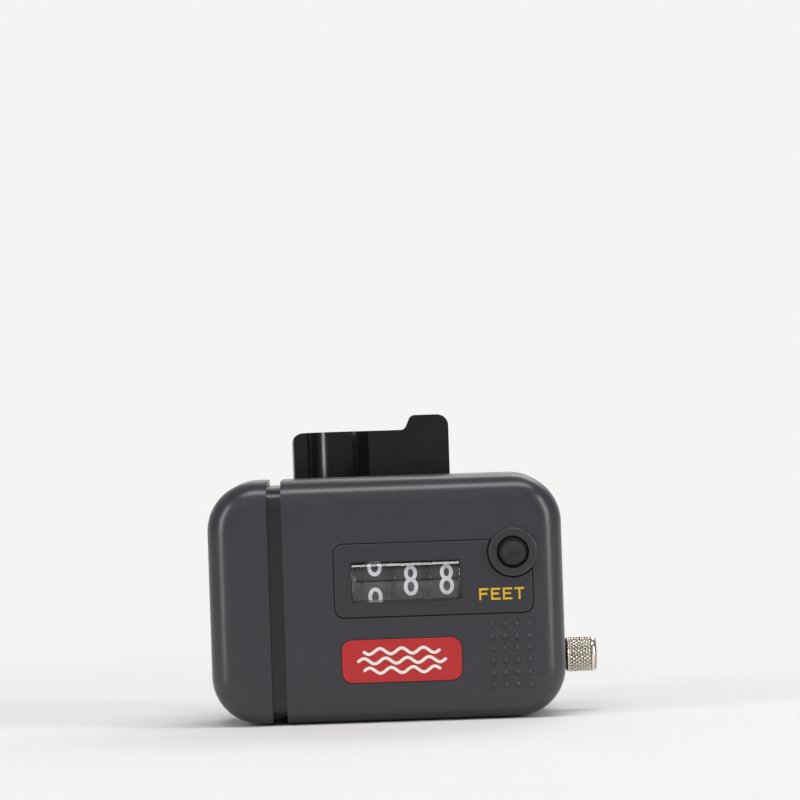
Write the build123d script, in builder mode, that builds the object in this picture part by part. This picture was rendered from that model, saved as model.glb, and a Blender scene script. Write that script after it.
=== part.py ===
import math
import os

from build123d import *

# Fishing line counter, in millimetres. X runs to the right, Z up, and Y away from the reader of
# the display. The origin is on the flat base, under the middle of the case.

os.makedirs("parts", exist_ok=True)

# Walls, edges and fits
wall = 1.8
corner_r = 7.5
front_edge_r = 4.0
back_edge_r = 2.5
overrun = 1.0
running = 0.05
clear = 0.3
seat = 0.1
sheet_t = 0.8

# Window and lens. The window's height above the base places the rest.
window_x = 3.0
window_z = 21.3
window_w = 16.9
window_h = 6.2
window_r = 0.8
lens_t = 0.6
lens_side_t = 0.4
lens_edge_r = 0.3
lens_rise = 1.3
lens_flange = 0.8
lens_flange_t = 0.45
aperture_side = 0.35
aperture_rise = 0.4

# Number wheels
wheel_r = 9.4
wheel_pitch = 5.45
wheels_aside = 0.68
wheel_front_gap = 0.3
wheel_back_gap = 2.1
rim_w = 3.2
rim_t = 0.9
web_t = 1.0
hub_r = 1.9
wheel_shaft_r = 1.0
disc_t = 0.6
disc_gap = 0.1
cam_t = 0.7
cam_min_r = 2.1
cam_max_r = 4.8
cam_zero_angle = 80.0
cam_points = 36
digits_shown = (8.43, 8.0, 8.0)
digits_on_wheel = 10

# Carry gearing
carry_tip_drop = 0.76
carry_ring_teeth = 20
carry_pinion_teeth = 8
carry_angle = -65.0
lock_gap = 0.34
pinion_shaft_r = 0.8

# Measuring roller and its shaft
roller_drop = 12.7
roller_back = 2.3
roller_r = 2.7
roller_len = 4.8
roller_gap = 0.3
roller_rim_r = 0.5
roller_shaft_r = 1.0
roller_tip_r = 0.6
bush_r = 2.2
bush_flange_r = 3.0
bush_flange_t = 0.9
washer_r = 2.0
washer_t = 0.2

# Reduction train
train_module = 0.25
train_pinion_teeth = 8
train_wheel_teeth = 48
units_gear_teeth = 40
train_face = 1.0
train_gap = 0.2
arbor_r = 0.5
first_arbor_angle = 125.9

# Counter frame
cheek_ahead = 4.7
cheek_behind = 9.5
cheek_below = 3.6
cheek_corner_r = 2.0
head_room = 1.0
left_cheek_gap = 0.45
right_cheek_gap = 0.3
foot_ahead = 1.7
foot_out = 6.4
foot_h = 5.0
low_foot_drop = 9.3
high_foot_rise = 8.2
right_foot_drop = 0.5
right_foot_out = 2.57
frame_screw_r = 0.8
frame_screw_head_r = 1.5
frame_screw_head_t = 1.0
frame_screw_len = 4.5
pillar_r = 0.7
plate_below = 3.2
plate_seat_gap = 0.5
shaft_end = 0.4
clip_t = 0.5

# Reset button and comb
button_aside = 2.97
button_up = 3.9
button_base_r = 2.35
button_top_r = 1.75
button_rise = 2.6
button_dish = 0.35
button_flange_r = 3.1
button_flange_t = 0.8
button_margin = 7.6
collar_r = 3.7
collar_rise = 0.5
plunger_r = 1.0
spring_wire = 0.4
spring_r = 1.9
spring_turns = 6
wire_seat = 0.05
spring_seat_half = 3.3
spring_seat_drop = 2.5
spring_seat_rise = 3.3
comb_back = 6.8
comb_clear = 0.8
comb_shaft_r = 0.9
comb_hub_r = 1.7
hammer_len = 8.3
hammer_w = 1.6
hammer_t = 0.5
hammer_rest_angle = 209.0
lever_aside = 2.2
lever_w = 1.6
lever_t = 1.2
lever_foot = 3.0

# Panel, badge, dots and groove
panel_left_margin = 2.5
panel_right_margin = 2.95
panel_h = 11.4
panel_up = 0.25
panel_r = 1.5
panel_t = 1.0
panel_edge_r = 0.25
badge_aside = 0.95
badge_drop = 12.0
badge_w = 18.4
badge_h = 6.7
badge_r = 1.7
badge_t = 0.6
badge_proud = 0.15
dots_aside = 0.7
dots_drop = 11.7
dot_columns = 4
dot_rows = 6
dot_pitch = 1.85
dot_r = 0.42
dot_rise = 0.28
groove_inset = 10.3
groove_w = 2.2
groove_depth = 1.0

# Screws that join the shells
screw_inset_x = 5.5
screw_inset_z = 4.7
screw_r = 0.9
screw_head_r = 1.8
screw_head_t = 1.3
screw_bite = 6.0
screw_floor = 2.0
boss_r = 2.7
slot_w = 0.5
slot_depth = 0.6

# Rod clamp
rod_x = -6.9
rod_r = 4.0
pad_t = 1.2
pad_half_angle = 48.0
saddle_floor = 2.0
saddle_w = 10.4
saddle_drop = 2.3
saddle_h = 17.0
pad_inset = 0.5
jaw_t = 2.2
jaw_start_angle = 25.0
jaw_end_angle = 197.0
jaw_blend_angle = 62.0
arm_pad_start_angle = 38.0
arm_pad_end_angle = 190.0
arm_h = 24.5
tab_rise = 2.3
tab_slope = 1.0
tab_aside = 0.6
tab_reach = 6.4
tab_lift = 1.8
tab_t = 2.0
tab_corner_r = 1.8
arm_corner_r = 1.0
hinge_aside = 5.9
hinge_back = 5.5
hinge_pin_r = 1.1
ear_r = 2.2
ear_t = 2.2
ear_inset = 0.8
ear_gap = 10.0
web_gap = 0.4
knuckle_t = 2.2
pin_head_r = 1.8
pin_head_t = 0.7
clip_r = 1.9
torsion_wire = 0.6
torsion_r = 1.85
torsion_pitch = 1.1
torsion_turns = 3
quarters = 4

# Tooth form, as shares of the module and of the tooth pitch
addendum_share = 0.8
dedendum_share = 1.2
tooth_tip_share = 0.24
tooth_root_share = 0.58

# Depth of the case: the wheels, what stands before and behind them, and the walls
case_d = panel_t + wheel_front_gap + 2 * wheel_r + wheel_back_gap + wall
face_y = -case_d / 2
back_y = case_d / 2
inner_front_y = face_y + wall
inner_back_y = back_y - wall
wheel_shaft_y = face_y + panel_t + wheel_front_gap + wheel_r
split_y = wheel_shaft_y + roller_back
roller_y = split_y
comb_y = wheel_shaft_y + comb_back
foot_y = wheel_shaft_y - foot_ahead
cheek_front = wheel_shaft_y - cheek_ahead
cheek_back = wheel_shaft_y + cheek_behind

# Heights, all from the window's
wheel_shaft_z = window_z
roller_z = window_z - roller_drop
comb_z = window_z + wheel_r + comb_clear
button_z = window_z + button_up
frame_top = comb_z + comb_hub_r + 2 * seat + sheet_t
case_h = frame_top + head_room + wall
cheek_low = roller_z - cheek_below
plate_low = roller_z - plate_below
plate_high = button_z - spring_seat_drop - plate_seat_gap
left_foot_z_low = window_z - low_foot_drop
left_foot_z_high = window_z + high_foot_rise
right_foot_z = comb_z - right_foot_drop
panel_z = window_z + panel_up
badge_z = window_z - badge_drop
dots_z = window_z - dots_drop

# Places along the shafts, from the wheels out to the button and the roller
wheels_x = window_x + wheels_aside
hundreds_x = wheels_x - wheel_pitch
tens_x = wheels_x
units_x = wheels_x + wheel_pitch
wheel_zone = wheel_pitch - rim_w
left_cheek_x = hundreds_x - rim_w / 2 - left_cheek_gap - sheet_t
units_gear_x = units_x + rim_w / 2 + cam_t + disc_gap * 3
right_cheek_x = units_gear_x + train_face + right_cheek_gap
plane_b_x = right_cheek_x + sheet_t + train_gap
plane_a_x = plane_b_x + train_face + train_gap
gear_plate_x = plane_a_x + train_face + train_gap
button_x = gear_plate_x + button_aside
lever_x = button_x - lever_aside
right_foot_x = right_cheek_x + sheet_t + right_foot_out
right_foot_end = right_foot_x + frame_screw_head_r + clear
case_w = 2 * (button_x + button_margin)
inner_right_x = case_w / 2 - wall
roller_x = case_w / 2 + roller_gap
groove_x = groove_inset - case_w / 2
screw_x = case_w / 2 - screw_inset_x
screw_z_low = screw_inset_z
screw_z_high = case_h - screw_inset_z
panel_left = window_x - window_w / 2 - panel_left_margin
panel_right = button_x + panel_right_margin
panel_w = panel_right - panel_left
panel_x = (panel_left + panel_right) / 2
badge_x = window_x - badge_aside
dots_x = button_x - dots_aside
aperture_w = window_w + 2 * aperture_side
aperture_h = window_h + 2 * aperture_rise
lens_half = window_h / 2 - seat

# Gear distances
carry_module = (wheel_r - carry_tip_drop) / (carry_ring_teeth / 2 + addendum_share)
carry_distance = carry_module * (carry_ring_teeth + carry_pinion_teeth) / 2
pinion_y = wheel_shaft_y + carry_distance * math.cos(math.radians(carry_angle))
pinion_z = wheel_shaft_z + carry_distance * math.sin(math.radians(carry_angle))
train_distance = train_module * (train_pinion_teeth + train_wheel_teeth) / 2
units_distance = train_module * (train_pinion_teeth + units_gear_teeth) / 2
lock_r = carry_module * (carry_ring_teeth / 2 + addendum_share) - lock_gap

# Places of the rod clamp
rod_y = back_y + saddle_floor + pad_t + rod_r
saddle_low = window_z - saddle_drop
hinge_x = rod_x + rod_r + pad_t + hinge_aside
hinge_y = back_y + hinge_back
ear_low = saddle_low + ear_inset
ear_high = ear_low + ear_t + ear_gap
hinge_gap_low = ear_low + ear_t + clear
hinge_gap_high = ear_high - clear
arm_low = saddle_low + pad_inset
arm_top = arm_low + arm_h
tab_top = arm_top + tab_rise
tab_left = hinge_x - tab_aside
tab_right = hinge_x + tab_reach
web_inner_y = hinge_y + ear_r + web_gap
web_outer_y = web_inner_y + jaw_t
tab_inner_y = web_inner_y + tab_lift
tab_outer_y = tab_inner_y + tab_t


def facing(depth):
    """Plane across the view at this depth. It faces the reader, so extrusions come forward."""
    return Plane.XZ.offset(-depth)


def across(place):
    """Plane square to the shafts at this X, with Y and Z as its own two directions."""
    return Plane.YZ.offset(place)


def polar(radius, degrees):
    return (radius * math.cos(math.radians(degrees)), radius * math.sin(math.radians(degrees)))


def shifted(centre, offset):
    return (centre[0] + offset[0], centre[1] + offset[1])


def angle_to(start, end):
    return math.degrees(math.atan2(end[1] - start[1], end[0] - start[0]))


def circles_meet(first, first_r, second, second_r):
    """The crossing of two circles that has the larger Y."""
    gap = math.dist(first, second)
    along = (first_r**2 - second_r**2 + gap**2) / (2 * gap)
    aside = math.sqrt(first_r**2 - along**2)
    direction = angle_to(first, second)
    middle = shifted(first, polar(along, direction))
    crossings = [shifted(middle, polar(aside, direction + turn)) for turn in (90, -90)]
    return max(crossings)


def tooth_points(teeth, module, at):
    """The four corners of one trapezoid tooth centred at this angle."""
    pitch = 360 / teeth
    root_r = module * (teeth / 2 - dedendum_share)
    tip_r = module * (teeth / 2 + addendum_share)
    return [
        polar(root_r, at - pitch * tooth_root_share / 2),
        polar(tip_r, at - pitch * tooth_tip_share / 2),
        polar(tip_r, at + pitch * tooth_tip_share / 2),
        polar(root_r, at + pitch * tooth_root_share / 2),
    ]


def gear_points(teeth, module, phase, centre):
    """Outline of a whole gear, with a tooth centred at the phase angle."""
    points = []
    for tooth in range(teeth):
        points += tooth_points(teeth, module, phase + 360 * tooth / teeth)
    return [shifted(centre, point) for point in points]


def meshed_phase(phase, teeth, centre, other_teeth, other_centre):
    """Phase of a gear whose gap takes the tooth of the gear that it meets."""
    line = angle_to(centre, other_centre)
    share = (phase - line) * teeth / 360
    return line + 180 - share * 360 / other_teeth + 180 / other_teeth


wheel_axis = (wheel_shaft_y, wheel_shaft_z)
carry_axis = (pinion_y, pinion_z)
roller_axis = (roller_y, roller_z)
comb_axis = (comb_y, comb_z)
first_axis = shifted(roller_axis, polar(train_distance, first_arbor_angle))
second_axis = circles_meet(first_axis, train_distance, wheel_axis, units_distance)

screw_places = [(x, z) for x in (-screw_x, screw_x) for z in (screw_z_low, screw_z_high)]
left_foot_x = left_cheek_x - foot_out / 2
frame_screw_places = [
    (left_foot_x, left_foot_z_low),
    (left_foot_x, left_foot_z_high),
    (right_foot_x, right_foot_z),
]
window_place = (window_x, window_z)
button_place = (button_x, button_z)


def cylinder_between(near_y, far_y, place, radius, mode=Mode.ADD):
    """Round bar along Y, from the nearer depth to the farther one."""
    with BuildSketch(facing(far_y)) as profile:
        with Locations(place):
            Circle(radius)
    extrude(profile.sketch, amount=far_y - near_y, mode=mode)


def block_between(near_y, far_y, place, width, height, radius=0, mode=Mode.ADD):
    """Rectangular block along Y, with rounded corners where a radius is given."""
    with BuildSketch(facing(far_y)) as profile:
        with Locations(place):
            if radius > 0:
                RectangleRounded(width, height, radius)
            else:
                Rectangle(width, height)
    extrude(profile.sketch, amount=far_y - near_y, mode=mode)


def disc_between(start_x, end_x, axis, radius, mode=Mode.ADD):
    """Round disc or shaft along X."""
    with BuildSketch(across(start_x)) as profile:
        with Locations(axis):
            Circle(radius)
    extrude(profile.sketch, amount=end_x - start_x, mode=mode)


def cut_bush_seat():
    """Round seat of the roller's bush and its flange, half in each shell."""
    flange_x = inner_right_x - bush_flange_t - overrun
    disc_between(flange_x, case_w / 2 + overrun, roller_axis, bush_r + running, Mode.SUBTRACT)
    disc_between(flange_x, inner_right_x, roller_axis, bush_flange_r + running, Mode.SUBTRACT)


def save(part, name):
    part.label = name
    export_step(part, f"parts/{name}.step")


# The groove's band goes round the front, the top and the bottom of the case.
with BuildPart() as groove_core:
    block_between(
        face_y + groove_depth,
        back_y + overrun,
        (groove_x, case_h / 2),
        groove_w + 2 * overrun,
        case_h - 2 * groove_depth,
    )
    front = groove_core.faces().sort_by(Axis.Y)[0]
    fillet(front.edges().filter_by(Axis.X), front_edge_r - groove_depth)

with BuildPart() as groove_band:
    block_between(
        face_y - overrun,
        back_y + overrun,
        (groove_x, case_h / 2),
        groove_w,
        case_h + 2 * overrun,
    )
    add(groove_core.part, mode=Mode.SUBTRACT)

# Front cavity, which leaves a boss standing for each screw.
with BuildPart() as front_cavity:
    block_between(
        inner_front_y,
        split_y,
        (0, case_h / 2),
        case_w - 2 * wall,
        case_h - 2 * wall,
        corner_r - wall,
    )
    front = front_cavity.faces().sort_by(Axis.Y)[0]
    fillet(front.edges(), front_edge_r - wall)
    for place in screw_places:
        cylinder_between(inner_front_y - overrun, split_y, place, boss_r, Mode.SUBTRACT)
    for place in frame_screw_places:
        cylinder_between(inner_front_y - overrun, foot_y, place, frame_screw_r * 2, Mode.SUBTRACT)

with BuildPart() as front_housing:
    block_between(face_y, split_y, (0, case_h / 2), case_w, case_h, corner_r)
    front = front_housing.faces().sort_by(Axis.Y)[0]
    fillet(front.edges(), front_edge_r)
    cylinder_between(face_y - collar_rise, face_y + wall, button_place, collar_r)
    rim = front_housing.edges().filter_by(GeomType.CIRCLE).sort_by(Axis.Y)[0]
    fillet(rim, collar_rise / 2)
    add(front_cavity.part, mode=Mode.SUBTRACT)
    add(groove_band.part, mode=Mode.SUBTRACT)
    # Recess of the panel, cut away round the button's collar
    with BuildSketch(facing(face_y + panel_t)):
        with Locations((panel_x, panel_z)):
            RectangleRounded(panel_w, panel_h, panel_r)
        with Locations(button_place):
            Circle(collar_r, mode=Mode.SUBTRACT)
    extrude(amount=panel_t + overrun, mode=Mode.SUBTRACT)
    block_between(
        face_y, inner_front_y + overrun, window_place, aperture_w, aperture_h, window_r, Mode.SUBTRACT
    )
    block_between(
        face_y - overrun, face_y + badge_t - badge_proud, (badge_x, badge_z), badge_w, badge_h,
        badge_r, Mode.SUBTRACT
    )
    cylinder_between(
        face_y - 2 * collar_rise, inner_front_y + overrun, button_place, button_base_r + seat,
        Mode.SUBTRACT
    )
    # Field of raised dots, each the cap of a ball
    dot_ball_r = (dot_r ** 2 + dot_rise ** 2) / (2 * dot_rise)
    with Locations(facing(face_y - dot_rise + dot_ball_r)):
        with Locations((dots_x, dots_z)):
            with GridLocations(dot_pitch, dot_pitch, dot_columns, dot_rows):
                Sphere(dot_ball_r)
    for place in screw_places:
        cylinder_between(split_y - screw_bite - overrun, split_y, place, screw_r + running, Mode.SUBTRACT)
    for place in frame_screw_places:
        cylinder_between(foot_y - frame_screw_len, foot_y, place, frame_screw_r + running, Mode.SUBTRACT)
    cut_bush_seat()
save(front_housing.part, "front_housing")

# Rear cavity, with the four posts that carry the screw heads.
with BuildPart() as rear_cavity:
    block_between(
        split_y,
        inner_back_y,
        (0, case_h / 2),
        case_w - 2 * wall,
        case_h - 2 * wall,
        corner_r - wall,
    )
    back = rear_cavity.faces().sort_by(Axis.Y)[-1]
    fillet(back.edges(), back_edge_r - wall / 2)
    for place in screw_places:
        cylinder_between(split_y, inner_back_y + overrun, place, boss_r, Mode.SUBTRACT)

with BuildPart() as rear_housing:
    block_between(split_y, back_y, (0, case_h / 2), case_w, case_h, corner_r)
    back = rear_housing.faces().sort_by(Axis.Y)[-1]
    fillet(back.edges(), back_edge_r)
    add(rear_cavity.part, mode=Mode.SUBTRACT)
    add(groove_band.part, mode=Mode.SUBTRACT)
    for place in screw_places:
        cylinder_between(split_y - overrun, back_y + overrun, place, screw_r + seat, Mode.SUBTRACT)
        cylinder_between(
            split_y + screw_floor, back_y + overrun, place, screw_head_r + clear, Mode.SUBTRACT
        )
    cut_bush_seat()
    # Saddle that takes the fixed pad
    with BuildSketch(Plane.XY.offset(saddle_low)):
        with Locations((rod_x, (inner_back_y + rod_y) / 2)):
            Rectangle(saddle_w, rod_y - inner_back_y)
        with Locations((rod_x, rod_y)):
            Circle(rod_r + pad_t, mode=Mode.SUBTRACT)
            Rectangle(saddle_w + 2 * overrun, 2 * rod_r * math.sin(math.radians(90 - pad_half_angle)),
                      mode=Mode.SUBTRACT)
    extrude(amount=saddle_h)
    # Two ears for the hinge pin
    for low in (ear_low, ear_high):
        with BuildSketch(Plane.XY.offset(low)):
            with Locations((hinge_x, (inner_back_y + hinge_y) / 2)):
                Rectangle(2 * ear_r, hinge_y - inner_back_y)
            with Locations((hinge_x, hinge_y)):
                Circle(ear_r)
                Circle(hinge_pin_r, mode=Mode.SUBTRACT)
        extrude(amount=ear_t)
save(rear_housing.part, "rear_housing")

# Screws of the case, with a slot in each head
with BuildPart() as case_screws:
    for place in screw_places:
        head_y = split_y + screw_floor
        cylinder_between(head_y, head_y + screw_head_t, place, screw_head_r)
        cylinder_between(split_y - screw_bite, head_y, place, screw_r)
        block_between(
            head_y + screw_head_t - slot_depth, head_y + screw_head_t, place,
            2 * screw_head_r, slot_w, 0, Mode.SUBTRACT
        )
save(case_screws.part, "case_screws")


def outline_between(start_x, end_x, points, mode=Mode.ADD):
    """Flat plate or gear of any outline, square to X."""
    with BuildSketch(across(start_x)) as profile:
        with BuildLine():
            Polyline(*points, close=True)
        make_face()
    extrude(profile.sketch, amount=end_x - start_x, mode=mode)


# Panel plate, with a rabbet behind its window for the lens
with BuildPart() as panel_plate:
    with BuildSketch(facing(face_y + panel_t)):
        with Locations((panel_x, panel_z)):
            RectangleRounded(panel_w - 2 * seat, panel_h - 2 * seat, panel_r - seat)
        with Locations(button_place):
            Circle(collar_r + seat, mode=Mode.SUBTRACT)
    extrude(amount=panel_t)
    front = panel_plate.faces().sort_by(Axis.Y)[0]
    fillet(front.edges(), panel_edge_r)
    block_between(
        face_y - overrun, face_y + panel_t + overrun, window_place, window_w, window_h, 0,
        Mode.SUBTRACT
    )
    block_between(
        face_y + panel_t - lens_flange_t - seat, face_y + panel_t + overrun, window_place,
        window_w + 2 * lens_flange, window_h + 2 * lens_flange, window_r, Mode.SUBTRACT
    )
save(panel_plate.part, "panel_plate")


def bulge(start_x, end_x, half_height, top_y, mode=Mode.ADD):
    """Barrel-shaped window that stands out of the face, its axis along X.

    The outside and the inside are the same arc, one behind the other, so that it bends the view evenly."""
    base_y = face_y + panel_t
    arc_r = (lens_half ** 2 + lens_rise ** 2) / (2 * lens_rise)
    arc_end_y = top_y + arc_r - math.sqrt(arc_r ** 2 - half_height ** 2)
    with BuildSketch(across(start_x)) as profile:
        with BuildLine():
            low = (arc_end_y, window_z - half_height)
            high = (arc_end_y, window_z + half_height)
            ThreePointArc(low, (top_y, window_z), high)
            Polyline(high, (base_y, window_z + half_height), (base_y, window_z - half_height), low)
        make_face()
    extrude(profile.sketch, amount=end_x - start_x, mode=mode)


# Clear lens: a thin bulged window on a flat flange
with BuildPart() as display_lens:
    lens_left = window_x - window_w / 2 + seat
    lens_right = window_x + window_w / 2 - seat
    block_between(
        face_y + panel_t - lens_flange_t, face_y + panel_t, window_place,
        window_w + 2 * (lens_flange - seat), window_h + 2 * (lens_flange - seat), window_r - seat
    )
    bulge(lens_left, lens_right, lens_half, face_y - lens_rise)
    fillet(display_lens.edges().filter_by(GeomType.CIRCLE).sort_by(Axis.Y)[:2], lens_edge_r)
    bulge(lens_left + lens_side_t, lens_right - lens_side_t, lens_half - lens_side_t,
          face_y - lens_rise + lens_t, Mode.SUBTRACT)
save(display_lens.part, "display_lens")

with BuildPart() as badge_plate:
    block_between(
        face_y - badge_proud, face_y + badge_t - badge_proud, (badge_x, badge_z),
        badge_w - 2 * seat, badge_h - 2 * seat, badge_r - seat
    )
    front = badge_plate.faces().sort_by(Axis.Y)[0]
    fillet(front.edges(), badge_proud / 2)
save(badge_plate.part, "badge_plate")

# Folded frame: two cheeks, a top web and feet that screw to the front shell
with BuildPart() as counter_frame:
    cheek_middle = ((cheek_front + cheek_back) / 2, (cheek_low + frame_top) / 2)
    for start in (left_cheek_x, right_cheek_x):
        with BuildSketch(across(start)):
            with Locations(cheek_middle):
                RectangleRounded(cheek_back - cheek_front, frame_top - cheek_low, cheek_corner_r)
        extrude(amount=sheet_t)
    frame_middle_x = (left_cheek_x + right_cheek_x + sheet_t) / 2
    block_between(
        cheek_front + cheek_corner_r, cheek_back - cheek_corner_r,
        (frame_middle_x, frame_top - sheet_t / 2), right_cheek_x + sheet_t - left_cheek_x, sheet_t
    )
    for foot_z in (left_foot_z_low, left_foot_z_high):
        block_between(
            foot_y, foot_y + sheet_t, (left_cheek_x - (foot_out - sheet_t) / 2, foot_z),
            foot_out + sheet_t, foot_h
        )
    block_between(
        foot_y, foot_y + sheet_t, ((right_cheek_x + right_foot_end) / 2, right_foot_z),
        right_foot_end - right_cheek_x, foot_h
    )
    # Seat of the button's spring, on the same bent strip
    block_between(
        foot_y, foot_y + sheet_t,
        (
            (right_cheek_x + button_x + spring_seat_half) / 2,
            button_z + (spring_seat_rise - spring_seat_drop) / 2
        ),
        button_x + spring_seat_half - right_cheek_x, spring_seat_rise + spring_seat_drop
    )
    cylinder_between(
        foot_y - overrun, foot_y + sheet_t + overrun, button_place, plunger_r + seat, Mode.SUBTRACT
    )
    for place in frame_screw_places:
        cylinder_between(
            foot_y - overrun, foot_y + sheet_t + overrun, place, frame_screw_r + seat, Mode.SUBTRACT
        )
    for axis, radius in (
        (wheel_axis, wheel_shaft_r),
        (carry_axis, pinion_shaft_r),
        (comb_axis, comb_shaft_r),
    ):
        disc_between(left_cheek_x - overrun, right_cheek_x + sheet_t + overrun, axis,
                     radius + running, Mode.SUBTRACT)
    for axis, radius in ((first_axis, arbor_r), (second_axis, arbor_r), (roller_axis, roller_tip_r)):
        disc_between(right_cheek_x - overrun, right_cheek_x + sheet_t + overrun, axis,
                     radius + running, Mode.SUBTRACT)
save(counter_frame.part, "counter_frame")

with BuildPart() as frame_screws:
    for place in frame_screw_places:
        head_y = foot_y + sheet_t
        cylinder_between(head_y, head_y + frame_screw_head_t, place, frame_screw_head_r)
        cylinder_between(head_y - frame_screw_len, head_y, place, frame_screw_r)
        block_between(
            head_y + frame_screw_head_t - slot_depth, head_y + frame_screw_head_t, place,
            2 * frame_screw_head_r, slot_w, 0, Mode.SUBTRACT
        )
save(frame_screws.part, "frame_screws")

# Outer bearing plate of the gear train, and its pillars
plate_middle = ((cheek_front + cheek_back) / 2, (plate_low + plate_high) / 2)
pillar_inset = 2 * pillar_r
pillar_axes = [
    (cheek_front + pillar_inset / 2, plate_high - pillar_inset / 2),
    (cheek_front + pillar_inset, plate_low + pillar_inset),
    (cheek_back - pillar_inset, plate_low + pillar_inset),
]
with BuildPart() as gear_plate:
    with BuildSketch(across(gear_plate_x)):
        with Locations(plate_middle):
            RectangleRounded(cheek_back - cheek_front, plate_high - plate_low, pillar_r)
    extrude(amount=sheet_t)
    for axis, radius in ((first_axis, arbor_r), (second_axis, arbor_r), (roller_axis, roller_shaft_r)):
        disc_between(gear_plate_x - overrun, gear_plate_x + sheet_t + overrun, axis,
                     radius + running, Mode.SUBTRACT)
save(gear_plate.part, "gear_plate")

with BuildPart() as plate_pillars:
    for axis in pillar_axes:
        disc_between(right_cheek_x + sheet_t, gear_plate_x, axis, pillar_r)
save(plate_pillars.part, "plate_pillars")

# Fixed shafts of the wheels and of the carry pinions, with their snap rings
shaft_left = left_cheek_x - clip_t - 2 * seat - shaft_end
with BuildPart() as digit_shaft:
    disc_between(shaft_left, right_cheek_x + sheet_t, wheel_axis, wheel_shaft_r)
save(digit_shaft.part, "digit_shaft")

with BuildPart() as pinion_shaft:
    disc_between(shaft_left, right_cheek_x + sheet_t, carry_axis, pinion_shaft_r)
save(pinion_shaft.part, "pinion_shaft")

with BuildPart() as shaft_clips:
    for axis, radius in ((wheel_axis, wheel_shaft_r), (carry_axis, pinion_shaft_r)):
        clip_left = left_cheek_x - seat - clip_t
        disc_between(clip_left, clip_left + clip_t, axis, 2 * radius)
        disc_between(clip_left - overrun, clip_left + clip_t + overrun, axis, radius + running / 2,
                     Mode.SUBTRACT)
save(shaft_clips.part, "shaft_clips")

pinion_phase = angle_to(carry_axis, wheel_axis)
ring_phase = meshed_phase(
    pinion_phase, carry_pinion_teeth, carry_axis, carry_ring_teeth, wheel_axis
)


def number_wheel(centre_x, digit, left_lock, right_ring, hub_left, hub_right):
    """Number wheel: rim, web, hub, heart cam, and the carry parts on its two sides."""
    rim_left = centre_x - rim_w / 2
    rim_right = centre_x + rim_w / 2
    step = 360 / digits_on_wheel
    with BuildPart() as wheel:
        disc_between(rim_left, rim_right, wheel_axis, wheel_r)
        disc_between(rim_left, rim_right, wheel_axis, wheel_r - rim_t, Mode.SUBTRACT)
        disc_between(centre_x - web_t / 2, centre_x + web_t / 2, wheel_axis, wheel_r - rim_t / 2)
        disc_between(hub_left, hub_right, wheel_axis, hub_r)
        cam_left = rim_right
        if right_ring:
            outline_between(rim_right, rim_right + disc_t, gear_points(
                carry_ring_teeth, carry_module, ring_phase, wheel_axis))
            cam_left = rim_right + disc_t
        if left_lock:
            # Locking disc, with two carry teeth that pass the pinion between nine and nought
            disc_between(rim_left - disc_t, rim_left, wheel_axis, lock_r)
            carry_at = carry_angle + (digits_on_wheel - 1 / 2 - digit) * step
            tooth_step = 360 / carry_ring_teeth
            for side in (-1, 1):
                tooth = tooth_points(carry_ring_teeth, carry_module, carry_at + side * tooth_step / 2)
                outline_between(rim_left - disc_t, rim_left, [shifted(wheel_axis, p) for p in tooth])
            for side in (-1, 0, 1):
                near = carry_module * (carry_ring_teeth / 2 - dedendum_share)
                half = tooth_step * (1 - tooth_root_share) / 2
                notch = [
                    polar(near, carry_at + side * tooth_step - half),
                    polar(wheel_r, carry_at + side * tooth_step - tooth_step * (1 - tooth_tip_share) / 2),
                    polar(wheel_r, carry_at + side * tooth_step + tooth_step * (1 - tooth_tip_share) / 2),
                    polar(near, carry_at + side * tooth_step + half),
                ]
                outline_between(rim_left - disc_t - overrun, rim_left,
                                [shifted(wheel_axis, p) for p in notch], Mode.SUBTRACT)
        # Heart cam: the radius grows evenly each way round from its notch
        notch_at = cam_zero_angle - digit * step
        cam = []
        for place in range(cam_points):
            turn = 360 * place / cam_points
            away = min(turn, 360 - turn) / 180
            radius = cam_min_r + (cam_max_r - cam_min_r) * away
            cam.append(shifted(wheel_axis, polar(radius, notch_at + turn)))
        outline_between(cam_left, cam_left + cam_t, cam)
        disc_between(hub_left - overrun, hub_right + overrun, wheel_axis, wheel_shaft_r + running,
                     Mode.SUBTRACT)
    return wheel.part


half_rim = rim_w / 2
hub_out = disc_t + cam_t + seat
hundreds_wheel = number_wheel(
    hundreds_x, digits_shown[0], False, True,
    left_cheek_x + sheet_t + seat, hundreds_x + half_rim + hub_out
)
tens_wheel = number_wheel(
    tens_x, digits_shown[1], True, True,
    tens_x - half_rim - disc_t, tens_x + half_rim + hub_out
)
units_wheel = number_wheel(
    units_x, digits_shown[2], True, False,
    units_x - half_rim - disc_t, units_gear_x + train_face
)
save(hundreds_wheel, "hundreds_wheel")
save(tens_wheel, "tens_wheel")
save(units_wheel, "units_wheel")


def carry_pinion(zone_left):
    """Carry pinion: eight teeth on the ring's side, and every other one on the lock's side."""
    zone_right = zone_left + wheel_zone
    middle = zone_left + disc_t + seat
    with BuildPart() as pinion:
        outline_between(zone_left + disc_gap, middle, gear_points(
            carry_pinion_teeth, carry_module, pinion_phase, carry_axis))
        root_r = carry_module * (carry_pinion_teeth / 2 - dedendum_share)
        disc_between(middle, zone_right - disc_gap, carry_axis, root_r)
        for tooth in range(1, carry_pinion_teeth, 2):
            at = pinion_phase + 360 * tooth / carry_pinion_teeth
            corners = [polar(root_r / 2, at - 10), *tooth_points(carry_pinion_teeth, carry_module, at),
                       polar(root_r / 2, at + 10)]
            outline_between(middle, zone_right - disc_gap, [shifted(carry_axis, p) for p in corners])
        disc_between(zone_left, zone_right, carry_axis, pinion_shaft_r + running, Mode.SUBTRACT)
    return pinion.part


save(carry_pinion(hundreds_x + half_rim), "hundreds_carry_pinion")
save(carry_pinion(tens_x + half_rim), "tens_carry_pinion")

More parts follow.
